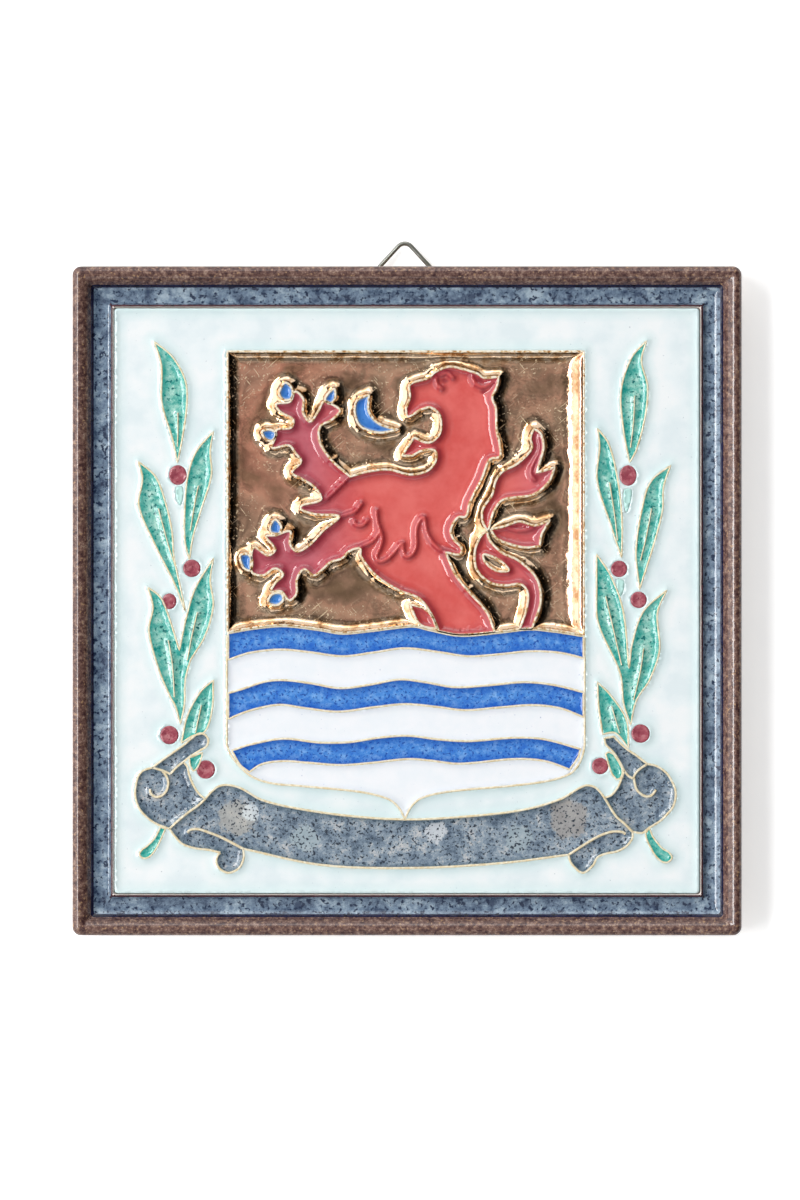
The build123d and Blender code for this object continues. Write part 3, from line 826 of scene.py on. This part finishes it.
TAIL_LEAF = [
    [(491, 529), (504, 526), (520, 521), (535, 525), (550, 520)],
    [(550, 520), (542, 534), (540, 546)],
    [(540, 546), (525, 547), (508, 543), (497, 538), (491, 529)],
]
TAIL_BAND = [
    [(487, 530), (480, 537.5), (475, 552), (477, 569), (490, 582), (505, 585), (521, 584),
     (528, 592), (527, 608), (520, 629)],
    [(520, 629), (532, 629)],
    [(532, 629), (541, 601), (537, 578.5), (520, 561), (502, 552), (490, 540), (487, 530)],
]
TAIL_GAP = [
    [(484, 554), (485, 561), (496, 570), (509, 570), (500, 560), (484, 554)],
]
TONGUE = [
    [(369, 394), (357, 400), (355, 413), (361, 426), (379, 432), (398, 429)],
    [(398, 429), (379, 423), (369, 411), (369, 394)],
]
CLAWS = [
    [[(285, 382), (292, 388), (291, 398), (283, 399), (279, 392), (285, 382)]],
    [[(334, 388), (335, 398), (329, 403), (325, 398), (334, 388)]],
    [[(262, 431), (270, 429), (276, 433), (272, 440), (265, 438), (262, 431)]],
    [[(275, 519), (281, 526), (279, 533), (271, 532), (270, 526), (275, 519)]],
    [[(240, 555), (248, 554), (252, 561), (250, 570), (243, 567), (240, 555)]],
    [[(281, 593), (283, 600), (276, 605), (268, 602), (272, 594), (281, 593)]],
]
print("folds:", len(BEAST_FOLDS), "claws:", len(CLAWS))

# %% [markdown]
# A branch stands on each side of the shield. The leaves are drawn one by one, because no two of the
# real ones are alike, and a berry is a circle: its middle, its radius and how tall it is for its
# width.

# %% Outlines of the branches
LEAVES = [
    [[(154, 341), (172, 356), (185, 380), (186.5, 405), (181, 443), (177, 462)],
     [(177, 462), (172.5, 440), (161.5, 402), (161, 365), (154, 341)]],
    [[(213, 431), (210, 450), (211, 475), (200, 512), (193, 535), (189, 559)],
     [(189, 559), (184.5, 540), (184.5, 505), (187.5, 475), (196, 451), (213, 431)]],
    [[(138, 461), (155, 476), (164.5, 500), (171.5, 530), (173.5, 556), (180.5, 589), (185, 611)],
     [(185, 611), (174, 583), (154, 543), (138.5, 505), (142, 478), (138, 461)]],
    [[(147.5, 587), (160, 597), (169, 618), (179, 650)],
     [(179, 650), (186, 617), (195, 588), (213, 558)],
     [(213, 558), (210, 580), (213, 605), (205, 635), (190, 660)],
     [(190, 660), (185, 680), (184, 705), (180, 724)],
     [(180, 724), (175, 706), (170, 697), (158, 668), (148.5, 630), (152.5, 607), (147.5, 587)]],
    [[(213, 680), (212, 708), (205, 731), (192, 736), (181, 743)],
     [(181, 743), (187, 716), (200, 692), (213, 680)]],
    [[(189, 757.5), (196, 755), (202, 752.5)],
     [(202, 752.5), (200.5, 760), (196, 769), (193, 771)],
     [(193, 771), (190, 766), (189, 757.5)]],
    [[(165, 829), (159.5, 841.5), (154, 851.5), (148, 857.5), (142.5, 858.3), (139, 855),
      (140.5, 851), (146.5, 846.3), (153, 840), (157, 833.5), (160, 827)],
     [(160, 827), (165, 829)]],
    [[(647, 340), (642, 360), (648, 385), (646, 414), (637, 449), (630, 462)],
     [(630, 462), (624, 430), (621.5, 390), (632, 357), (647, 340)]],
    [[(598, 428), (609, 443), (618, 478), (622.5, 520), (622, 557)],
     [(622, 557), (612, 527), (597.5, 480), (600, 446), (598, 428)]],
    [[(671, 465), (664, 487), (663, 510), (654, 545), (640, 589)],
     [(640, 589), (636.5, 549), (645, 497), (653, 479), (671, 465)]],
    [[(597, 554), (611, 575), (623.5, 610), (629.5, 668)],
     [(629.5, 668), (633, 642), (644, 611), (667, 590)],
     [(667, 590), (658, 613), (660, 650), (650, 680), (637, 700), (631, 725)],
     [(631, 725), (624, 703), (620.5, 673), (598.5, 622), (597, 585), (597, 554)]],
    [[(598, 682), (611, 695), (627, 720), (629, 748)],
     [(629, 748), (616, 733), (603, 734)],
     [(603, 734), (599, 706), (598, 682)]],
    [[(606, 754), (609, 752), (614, 754)],
     [(614, 754), (619.5, 762.5), (623, 771), (621, 778), (617, 779.5)],
     [(617, 779.5), (612.5, 774), (609.5, 766), (606, 754)]],
    [[(646, 833), (647, 839), (651, 847.5), (656, 856), (662, 861.5), (668, 862.5),
      (672.5, 858), (670, 853), (663, 848.5), (658, 843), (653, 836), (650, 828.5)],
     [(650, 828.5), (646, 833)]],
]
VEINS = [
    [(177.5, 412), (177.5, 430), (177, 446)],
    [(198, 485), (194, 505), (190, 530)],
    [(158, 508), (168, 545), (177, 572)],
    [(197, 612), (191, 638), (187, 660)],
    [(168, 640), (172, 665), (174, 697)],
    [(201, 705), (195, 733)],
    [(635, 395), (634, 420), (631, 447)],
    [(610, 482), (615, 515), (618, 540)],
    [(652, 508), (647, 535), (641, 560)],
    [(606, 596), (614, 630), (622, 665)],
    [(644, 648), (641, 670), (634, 700)],
    [(612, 706), (620, 733)],
]
BUDS = [
    [[(176, 487), (182, 486), (183, 496), (180, 505), (176, 498), (176, 487)]],
    [[(625, 489), (632, 489), (631, 501), (627, 512), (624, 502), (625, 489)]],
    [[(617, 579), (624, 580), (624, 590), (621, 596), (618, 590), (617, 579)]],
]
BERRIES = [
    (177.5, 474.5, 9, 1.1),
    (191.5, 568, 8.8, 1.0),
    (169, 601, 7.2, 1.1),
    (169, 735, 9.3, 1.0),
    (205.5, 769.5, 9.3, 1.0),
    (628.5, 475, 8.6, 1.2),
    (619.5, 568.5, 8.3, 1.0),
    (639, 599.5, 8.3, 1.0),
    (641, 733.5, 9.3, 1.0),
    (600.5, 766, 8.3, 1.0),
]
print("leaves:", len(LEAVES), "berries:", len(BERRIES))

# %% [markdown]
# The ribbon hangs under the shield in five lengths: the middle, and a strip and a roll at each end.
# The lines where two lengths meet are written once, and both outlines use them.

# %% Outlines of the ribbon
LEFT_MEETING = [(169, 829), (176, 822.5), (188, 812.5), (198, 805.5), (205, 799)]
RIGHT_MEETING = [(605, 798), (611.4, 808.6), (617.3, 817.2), (624.8, 823.6), (633, 832)]
LEFT_STRIP_SIDE = [(183, 762), (176, 767.5), (170, 774)]
LEFT_STRIP_END = [(170, 774), (162, 770.5), (152, 767.5)]
RIGHT_STRIP_END = [(648, 764), (641, 768.5), (636.5, 773), (633.5, 778.5)]
RIGHT_STRIP_SIDE = [(633.5, 778.5), (629, 776), (624.8, 771)]
RIBBON = [
    [[(205, 799), (211, 792), (218.5, 786.3), (227.4, 785), (240, 788), (262, 800), (300, 809),
      (355, 816.5), (407, 819.5), (460, 817), (520, 810.5), (560, 799.5), (580, 788),
      (587, 785.4), (595, 787), (601, 792.4), (605, 798)],
     RIGHT_MEETING,
     [(633, 832), (633, 838), (627, 846.3), (617.3, 851.6), (606.5, 853.8), (598, 857.5),
      (593, 866), (583, 873), (572, 864), (568.5, 855)],
     [(568.5, 855), (500, 863.5), (407, 868.3), (320, 865), (243, 849)],
     [(243, 849), (243.5, 858), (239, 868), (229, 873), (220, 869.5), (216, 862),
      (217.5, 855.5), (220, 853)],
     [(220, 853), (208, 850), (195, 848.5), (182, 844), (175, 837), (169, 829)],
     LEFT_MEETING],
    [[(152, 767.5), (158, 763), (170.5, 754), (183, 745.3), (192, 737.7), (198, 733.6),
      (204, 734.2), (208, 739.5), (206.5, 746), (200, 750.3), (190.7, 756), (183, 762)],
     LEFT_STRIP_SIDE,
     LEFT_STRIP_END],
    [LEFT_STRIP_SIDE,
     LEFT_STRIP_END,
     [(152, 767.5), (143, 770.5), (138, 776), (135.5, 785), (134.8, 795), (138, 807),
      (145, 816), (155, 823.5), (169, 829)],
     LEFT_MEETING,
     [(205, 799), (199, 794), (193, 785), (189, 775), (187, 767), (183, 762)]],
    [[(605, 738), (614.6, 736.5)],
     [(614.6, 736.5), (617.5, 740), (628, 749.5), (637, 755.5), (648, 764)],
     RIGHT_STRIP_END,
     RIGHT_STRIP_SIDE,
     [(624.8, 771), (620.5, 762.5), (614, 752.5), (606, 744), (605, 738)]],
    [[(624.8, 771), (622, 778.5), (618.4, 787), (612, 795), (605, 798)],
     RIGHT_MEETING,
     [(633, 832), (643, 833), (649.6, 828), (660.3, 821.5), (668, 814), (673.3, 807.5),
      (676, 799), (676, 790), (672.7, 781.7), (668, 774), (660.3, 767.7), (654, 765),
      (648, 764)],
     RIGHT_STRIP_END,
     RIGHT_STRIP_SIDE],
]
RIBBON_FOLDS = [
    [(187, 833), (190, 830), (198, 829.3), (208, 832.4), (221, 837.5), (243, 849)],
    [(626, 834), (622, 832), (612, 832), (598, 837), (569, 855)],
    [(162, 771), (166, 776), (168, 783), (166, 791), (161, 796), (155, 797), (150.5, 793.5),
     (149.5, 789)],
    [(634.5, 778), (635, 782), (637.7, 790.3), (645.3, 796.2), (651.7, 795.7), (656.5, 790)],
]
print("lengths of ribbon:", len(RIBBON))

# %% [markdown]
# A run is made smooth with a curve that goes through its points and leaves each one in line with
# its neighbours. It is cut into short straight pieces of about a quarter of a millimetre.

# %% From runs to fine lines
POINT_SPACING = 0.26
SQUARE_SPACING = 0.5
CIRCLE_POINTS = 26


def heading(before, here, after):
    """The way that a smooth curve takes through a point, as far as one millimetre."""
    if before is None:
        return (after - here).normalized()
    if after is None:
        return (here - before).normalized()
    return (after - before) / ((after - here).length + (here - before).length)


def smooth_run(run, closed=False):
    """A run's points with a smooth curve through them, in millimetres, without its last point."""
    points = [Vector(on_tile(p)) for p in run]
    last = len(points) - 1
    fine = []
    for i in range(last):
        a, b = points[i], points[i + 1]
        before = points[i - 1] if i else (points[-2] if closed else None)
        after = points[i + 2] if i + 2 <= last else (points[1] if closed else None)
        length = (b - a).length
        leave = heading(before, a, b) * length
        arrive = heading(a, b, after) * length
        count = max(1, round(length / POINT_SPACING))
        for j in range(count):
            t = j / count
            fine.append(a * (2 * t**3 - 3 * t**2 + 1) + leave * (t**3 - 2 * t**2 + t)
                        + b * (3 * t**2 - 2 * t**3) + arrive * (t**3 - t**2))
    return fine


def fine_outline(runs):
    """A closed outline as one list of points, turned so that it runs anticlockwise."""
    line = [p for run in runs for p in smooth_run(run, closed=len(runs) == 1)]
    swept = sum(a.cross(b) for a, b in zip(line, line[1:] + line[:1]))
    return line if swept > 0 else line[::-1]


def fine_line(run):
    return smooth_run(run) + [Vector(on_tile(run[-1]))]


def circle(x, y, radius, tall):
    """A round outline, for the berries."""
    centre = Vector(on_tile((x, y)))
    reach = radius * DRAWING_UNIT
    turns = [math.tau * i / CIRCLE_POINTS for i in range(CIRCLE_POINTS)]
    return [centre + Vector((math.cos(turn) * reach, math.sin(turn) * reach * tall))
            for turn in turns]


def square(inset, corner):
    """The picture's edge: a square with small round corners."""
    half = HALF_SIDE - inset
    points = []
    for quarter in range(4):
        turn = math.pi / 2 * quarter
        centre = Vector(((half - corner) * (1 if quarter in (0, 3) else -1),
                         (half - corner) * (1 if quarter in (0, 1) else -1)))
        for i in range(6):
            angle = turn + math.pi / 2 * i / 5
            points.append(centre + Vector((math.cos(angle), math.sin(angle))) * corner)
    fine = []
    for a, b in zip(points, points[1:] + points[:1]):
        count = max(1, round((b - a).length / SQUARE_SPACING))
        fine += [a.lerp(b, j / count) for j in range(count)]
    return fine


regions = [("panel", square(POOL_EDGE_INSET, 0.5)), ("shield", fine_outline(SHIELD)),
           ("gold", fine_outline(FIELD))]
regions += [("wave", fine_outline(w)) for w in WAVES]
beast_parts = (BEAST, REAR_PAW, TAIL_TUFT, TAIL_LEAF, TAIL_BAND)
regions += [("beast", fine_outline(part)) for part in beast_parts]
regions += [("gold", fine_outline(TAIL_GAP)), ("claw", fine_outline(TONGUE))]
regions += [("claw", fine_outline(claw)) for claw in CLAWS]
regions += [("leaf", fine_outline(leaf)) for leaf in LEAVES]
regions += [("bud", fine_outline(bud)) for bud in BUDS]
regions += [("berry", circle(*berry)) for berry in BERRIES]
regions += [("ribbon", fine_outline(part)) for part in RIBBON]
folds = [fine_line(fold) for fold in BEAST_FOLDS + RIBBON_FOLDS]
veins = [fine_line(vein) for vein in VEINS]
print("regions:", len(regions), "outline points:", sum(len(r[1]) for r in regions))

# %% [markdown]
# ## The pools of glaze
# A melted glaze settles flat in its pool and climbs a little at the clay lines round it. No
# operator makes that surface, so it is made from the outlines: a net of triangles is laid between
# them, with extra points inside, and each point is lifted by how near it is to a line. All pools
# come from one net, so that neighbours meet without a gap.

# %% Distances to the lines
def line_tree(lines, closed):
    pieces = []
    for line in lines:
        pieces += list(zip(line, line[1:] + line[:1] if closed else line[1:]))
    tree = kdtree.KDTree(2 * len(pieces))
    for i, (a, b) in enumerate(pieces):
        tree.insert((a.x, a.y, 0), i)
        tree.insert(((a.x + b.x) / 2, (a.y + b.y) / 2, 0), i)
    tree.balance()
    return tree, pieces


def distance_to(lines, spot):
    """How far a spot is from the nearest of some lines."""
    tree, pieces = lines
    nearest = math.inf
    for _, i, _ in tree.find_n((spot.x, spot.y, 0), 3):
        a, b = pieces[i]
        share = (spot - a).dot(b - a) / max((b - a).length_squared, 1e-9)
        nearest = min(nearest, (spot - a.lerp(b, max(0.0, min(1.0, share)))).length)
    return nearest


edge_lines = line_tree([outline for _, outline in regions], closed=True)
fold_lines = line_tree(folds + veins, closed=False)
print("pieces of line:", len(edge_lines[1]), "and", len(fold_lines[1]))

# %% [markdown]
# The extra points are a shaken grid, closer together near the lines. Beside the outlines in the
# gold field, where the slopes are steep, they stand in rows, so that the slopes come out even.

# %% The net of triangles
FAR_SPACING = 0.75
NEAR_SPACING = 0.34
NEAR_REACH = 1.5
CLEAR_OF_LINES, CLEAR_OF_ROWS = 0.16, 0.24
ROW_STEPS = (0.2, 0.42, 0.66, 0.92, 1.2, 1.5)
ROW_CELL, ROW_CLEARANCE = 0.15, 0.95
SHAKE = 0.3
DEEP_KINDS = ("gold", "beast", "claw")
INSIDE_OUTLINES, MERGE_DISTANCE = 1, 1e-5


def scatter(spacing):
    """Points over the whole picture on a shaken grid, the same on each run."""
    shake = random.Random(4)
    half = HALF_SIDE - POOL_EDGE_INSET
    count = int(2 * half / spacing)
    return [Vector((-half + (i + 0.5 + shake.uniform(-SHAKE, SHAKE)) * spacing,
                    -half + (j + 0.5 + shake.uniform(-SHAKE, SHAKE)) * spacing))
            for i in range(count) for j in range(count)]


def clearance(spot):
    return min(distance_to(edge_lines, spot), distance_to(fold_lines, spot))


def rows_beside(lines):
    """Rows of points on both sides of some lines, one to a cell where rows meet."""
    rows, taken = [], set()
    for step in ROW_STEPS:
        for line in lines:
            for before, here, after in zip(line, line[1:], line[2:]):
                along = (after - before).normalized()
                for side in (-step, step):
                    p = here + Vector((-along.y, along.x)) * side
                    cell = (round(p.x / ROW_CELL), round(p.y / ROW_CELL))
                    if cell not in taken and clearance(p) > ROW_CLEARANCE * step:
                        taken.add(cell)
                        rows.append(p)
    return rows


def make_net():
    """Triangulate the picture, and note for each triangle the outlines that it lies in."""
    points, faces, edges = [], [], []
    for _, outline in regions:
        faces.append(list(range(len(points), len(points) + len(outline))))
        points += outline
    for line in folds + veins:
        edges += [(i, i + 1) for i in range(len(points), len(points) + len(line) - 1)]
        points += line
    rows = rows_beside([o + o[:2] for kind, o in regions if kind in DEEP_KINDS] + folds)
    row_tree = kdtree.KDTree(len(rows))
    for i, p in enumerate(rows):
        row_tree.insert((p.x, p.y, 0), i)
    row_tree.balance()
    points += rows
    for spacing, lowest, highest in ((NEAR_SPACING, CLEAR_OF_LINES, NEAR_REACH),
                                     (FAR_SPACING, NEAR_REACH, math.inf)):
        for p in scatter(spacing):
            if lowest < clearance(p) <= highest and row_tree.find((p.x, p.y, 0))[2] > CLEAR_OF_ROWS:
                points.append(p)
    result = geometry.delaunay_2d_cdt(points, edges, faces, INSIDE_OUTLINES, MERGE_DISTANCE, True)
    return result[0], result[2], result[5]


points, triangles, owners = make_net()
print("net:", len(points), "points,", len(triangles), "triangles")

# %% [markdown]
# Each glaze has its own level and climbs over its own width. The gold was put on a sunk field, so
# it lies lowest and its slopes are the widest. Its right wall has a flat lip along the top.

# %% Heights of the glazes
POOL_LEVEL = {"panel": 7.88, "shield": 7.9, "wave": 7.88, "leaf": 7.75, "berry": 7.95, "bud": 7.95,
              "beast": 7.3, "claw": 7.75, "ribbon": 7.7, "gold": 7.0}
CLIMB_WIDTH = {"panel": 1.2, "shield": 1.2, "wave": 1.2, "leaf": 1.3, "berry": 1.0, "bud": 0.9,
               "beast": 1.7, "claw": 0.9, "ribbon": 1.5, "gold": 2.3}
HOLLOWNESS, GOLD_HOLLOWNESS = 2.0, 2.6
EDGE_HEIGHT = 8.12
FOLD_HEIGHT = 8.1
FOLD_WIDTH = 1.1
LIP_WIDTH = 0.8
FIELD_RIGHT = on_tile(FIELD[2][0])[0]


def climb(distance, width, hollowness=HOLLOWNESS):
    """1 at a line, falling in a hollow curve to 0 at a width from it."""
    return (1 - min(1.0, distance / width)) ** hollowness


def height_at(kind, edge, fold, by_right_wall):
    """How high a pool's surface is, so far from the nearest outline and the nearest fold."""
    level = POOL_LEVEL[kind]
    if by_right_wall:
        edge = max(0.0, edge - LIP_WIDTH)
    if kind == "gold":
        return level + (EDGE_HEIGHT - level) * climb(edge, CLIMB_WIDTH[kind], GOLD_HOLLOWNESS)
    at_edge = (EDGE_HEIGHT - level) * climb(edge, CLIMB_WIDTH[kind])
    at_fold = (FOLD_HEIGHT - level) * climb(fold, FOLD_WIDTH)
    return level + max(at_edge, at_fold)


for kind, level in POOL_LEVEL.items():
    print(kind, "lies", round(EDGE_HEIGHT - level, 2), "mm below the lines")

# %% [markdown]
# Each triangle belongs to the last outline drawn round it. The triangles of one kind become one
# piece: its top is the net, smoothed a little, and a wall and an open underside inside the clay
# finish it. Each point keeps its distance to the lines and folds, for the glazes to read.

# %% From net to pieces
SMOOTHING_PASSES = {"gold": 4, "beast": 2}
SMOOTH_SHADED = 0.3
FAR_FROM_LINES = 9.0


def triangles_by_kind():
    sorted_out = {}
    for triangle, inside in zip(triangles, owners):
        if inside:
            sorted_out.setdefault(regions[max(inside)][0], []).append(triangle)
    return sorted_out


def smooth_and_wall(mesh, passes):
    """Smooth the inner points, and draw a wall down from the edge into the clay."""
    shape = bmesh.new()
    shape.from_mesh(mesh)
    if sum(f.normal.z for f in shape.faces) < 0:
        bmesh.ops.reverse_faces(shape, faces=shape.faces)
    inner = [v for v in shape.verts if not v.is_boundary]
    for _ in range(passes):
        bmesh.ops.smooth_vert(shape, verts=inner, factor=0.5, use_axis_z=True)
    rim = [e for e in shape.edges if e.is_boundary]
    for item in bmesh.ops.extrude_edge_only(shape, edges=rim)["geom"]:
        if isinstance(item, bmesh.types.BMVert):
            item.co.z = POOL_BOTTOM * MM
    bmesh.ops.recalc_face_normals(shape, faces=shape.faces)
    for face in shape.faces:
        face.smooth = face.normal.z > SMOOTH_SHADED
    shape.to_mesh(mesh)
    shape.free()


def make_pool(kind, faces):
    """One piece for all the pools of a kind."""
    used = sorted({i for face in faces for i in face})
    place = {i: n for n, i in enumerate(used)}
    spots = [points[i] for i in used]
    edges = [distance_to(edge_lines, spot) for spot in spots]
    creases = [distance_to(fold_lines, spot) for spot in spots]
    by_wall = [kind == "gold" and FIELD_RIGHT - spot.x < edge + 0.01
               for spot, edge in zip(spots, edges)]
    top = [(spot.x * MM, spot.y * MM, height_at(kind, edge, fold, beside) * MM)
           for spot, edge, fold, beside in zip(spots, edges, creases, by_wall)]
    edges = [FAR_FROM_LINES if beside and edge < LIP_WIDTH else edge
             for edge, beside in zip(edges, by_wall)]
    mesh = bpy.data.meshes.new(kind + "_pools")
    mesh.from_pydata(top, [], [[place[i] for i in face] for face in faces])
    for name, values in (("line_distance", edges), ("fold_distance", creases)):
        attribute = mesh.attributes.new(name, "FLOAT", "POINT")
        attribute.data.foreach_set("value", values)
    smooth_and_wall(mesh, SMOOTHING_PASSES.get(kind, 1))
    piece = bpy.data.objects.new(kind + "_pools", mesh)
    bpy.context.collection.objects.link(piece)
    mesh.materials.append(FINISH[kind])
    return piece


pools = [make_pool(kind, faces) for kind, faces in triangles_by_kind().items()]
for piece in pools:
    print(piece.name, len(piece.data.polygons), "faces")

# %% [markdown]
# ## The clay lines
# The raised lines were pressed with the tile, and their tops are left free of glaze. Each is a
# curve with a round section, sunk to about half its height between the pools.

# %% Clay lines
LINE_RADIUS = 0.22
LEAF_LINE_RADIUS = 0.17
VEIN_RADIUS = 0.1
LOWER_SHIELD = [[(585, 637), (585, 745)], SHIELD[3], SHIELD[4], [(226.6, 745), (226.6, 633)]]


def make_lines(name, lines, closed, finish, radius=LINE_RADIUS):
    """Round lines of clay along the outlines, as one mesh."""
    start_clean()
    curve = bpy.data.curves.new(name, "CURVE")
    curve.dimensions = "3D"
    curve.bevel_depth = radius * MM
    curve.bevel_resolution = 1
    curve.use_fill_caps = True
    for line in lines:
        spline = curve.splines.new("POLY")
        spline.points.add(len(line) - 1)
        for point, p in zip(spline.points, line):
            point.co = (p.x * MM, p.y * MM, (LINE_HEIGHT - radius) * MM, 1)
        spline.use_cyclic_u = closed
    piece = bpy.data.objects.new(name, curve)
    bpy.context.collection.objects.link(piece)
    piece.select_set(True)
    bpy.context.view_layer.objects.active = piece
    bpy.ops.object.convert(target="MESH")
    piece = bpy.context.object
    piece.data.materials.append(FINISH[finish])
    smooth(piece, 60)
    return piece


def each_run_once(outlines):
    """The runs of some outlines, where a line that two outlines share is taken once."""
    runs = []
    for outline in outlines:
        runs += [run for run in outline if run not in runs]
    return [fine_line(run) for run in runs]


def outlines_of(*kinds):
    return [outline for kind, outline in regions if kind in kinds]


shield_edge = [p for run in LOWER_SHIELD for p in smooth_run(run)]
ribbon_lines = each_run_once(RIBBON + [RIBBON_FOLDS])
clay_lines = [
    make_lines("clay_lines", outlines_of("wave"), True, "clay_line"),
    make_lines("shield_edge", [shield_edge], False, "clay_line"),
    make_lines("gilt_lines", outlines_of(*DEEP_KINDS), True, "gilt_line"),
    make_lines("leaf_edges", outlines_of("leaf"), True, "clay_line", LEAF_LINE_RADIUS),
    make_lines("ribbon_lines", ribbon_lines, False, "clay_line"),
    make_lines("leaf_veins", veins, False, "clay_line", VEIN_RADIUS),
]
print("clay lines:", [len(piece.data.polygons) for piece in clay_lines])

# %% [markdown]
# ## The hanging wire
# The CAD's own wire keeps its shape and gets a steel finish: drawn wire, smooth along its length,
# gone a little dull.

# %% Hanging wire
def drawn_steel():
    material = new_material("drawn_steel_wire")
    tarnish = mottling(material, 1.5, detail=3.0)
    tone = add_node(material, "ValToRGB", {"Fac": tarnish}, [(0.35, "#8b8c84"), (0.65, "#a9aaa2")])
    surface(material, {"Base Color": tone, "Metallic": 1.0, "Roughness": 0.32}, tarnish, 0.01)
    return material


def cad_object(node):
    """The CAD's own object for a node."""
    return next(o for o in bpy.data.objects if o.name == node or o.name.startswith(node))


wire = cad_object("hanging_wire")
wire.data.materials.clear()
wire.data.materials.append(drawn_steel())
print("wire object:", wire.name)

# %% [markdown]
# ## The table
# A white table carries the tile and takes its soft shadow. For the camera alone it is a little
# lighter, so that it stays white without more light on the tile.

# %% Table
TABLE_SIDE = 6
LIFT_FOR_CAMERA = 0.5


def add_table():
    start_clean()
    bpy.ops.mesh.primitive_plane_add(size=TABLE_SIDE)
    table = bpy.context.object
    table.name = "table"
    material = new_material("white_table")
    tone = add_node(material, "ValToRGB", {"Fac": mottling(material, 3.0)},
                    [(0.3, "#fbfbfb"), (0.7, WHITE)])
    seen = add_node(material, "LightPath")
    lift = add_node(material, "Math", {0: (seen, "Is Camera Ray"), 1: LIFT_FOR_CAMERA},
                    operation="MULTIPLY")
    surface(material, {"Base Color": tone, "Roughness": 0.8, "Emission Color": linear(WHITE),
                       "Emission Strength": lift})
    table.data.materials.append(material)
    print("table, m:", TABLE_SIDE)


add_table()

# %% [markdown]
# ## Joining the frame
# Every piece is part of the one fired tile, so it rides on the same body. Together the pieces stand
# for the CAD's tile, which is hidden.

# %% Ride, replace and finish
for piece in [body, foot] + pools + clay_lines:
    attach(piece, "root")
    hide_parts("tile")
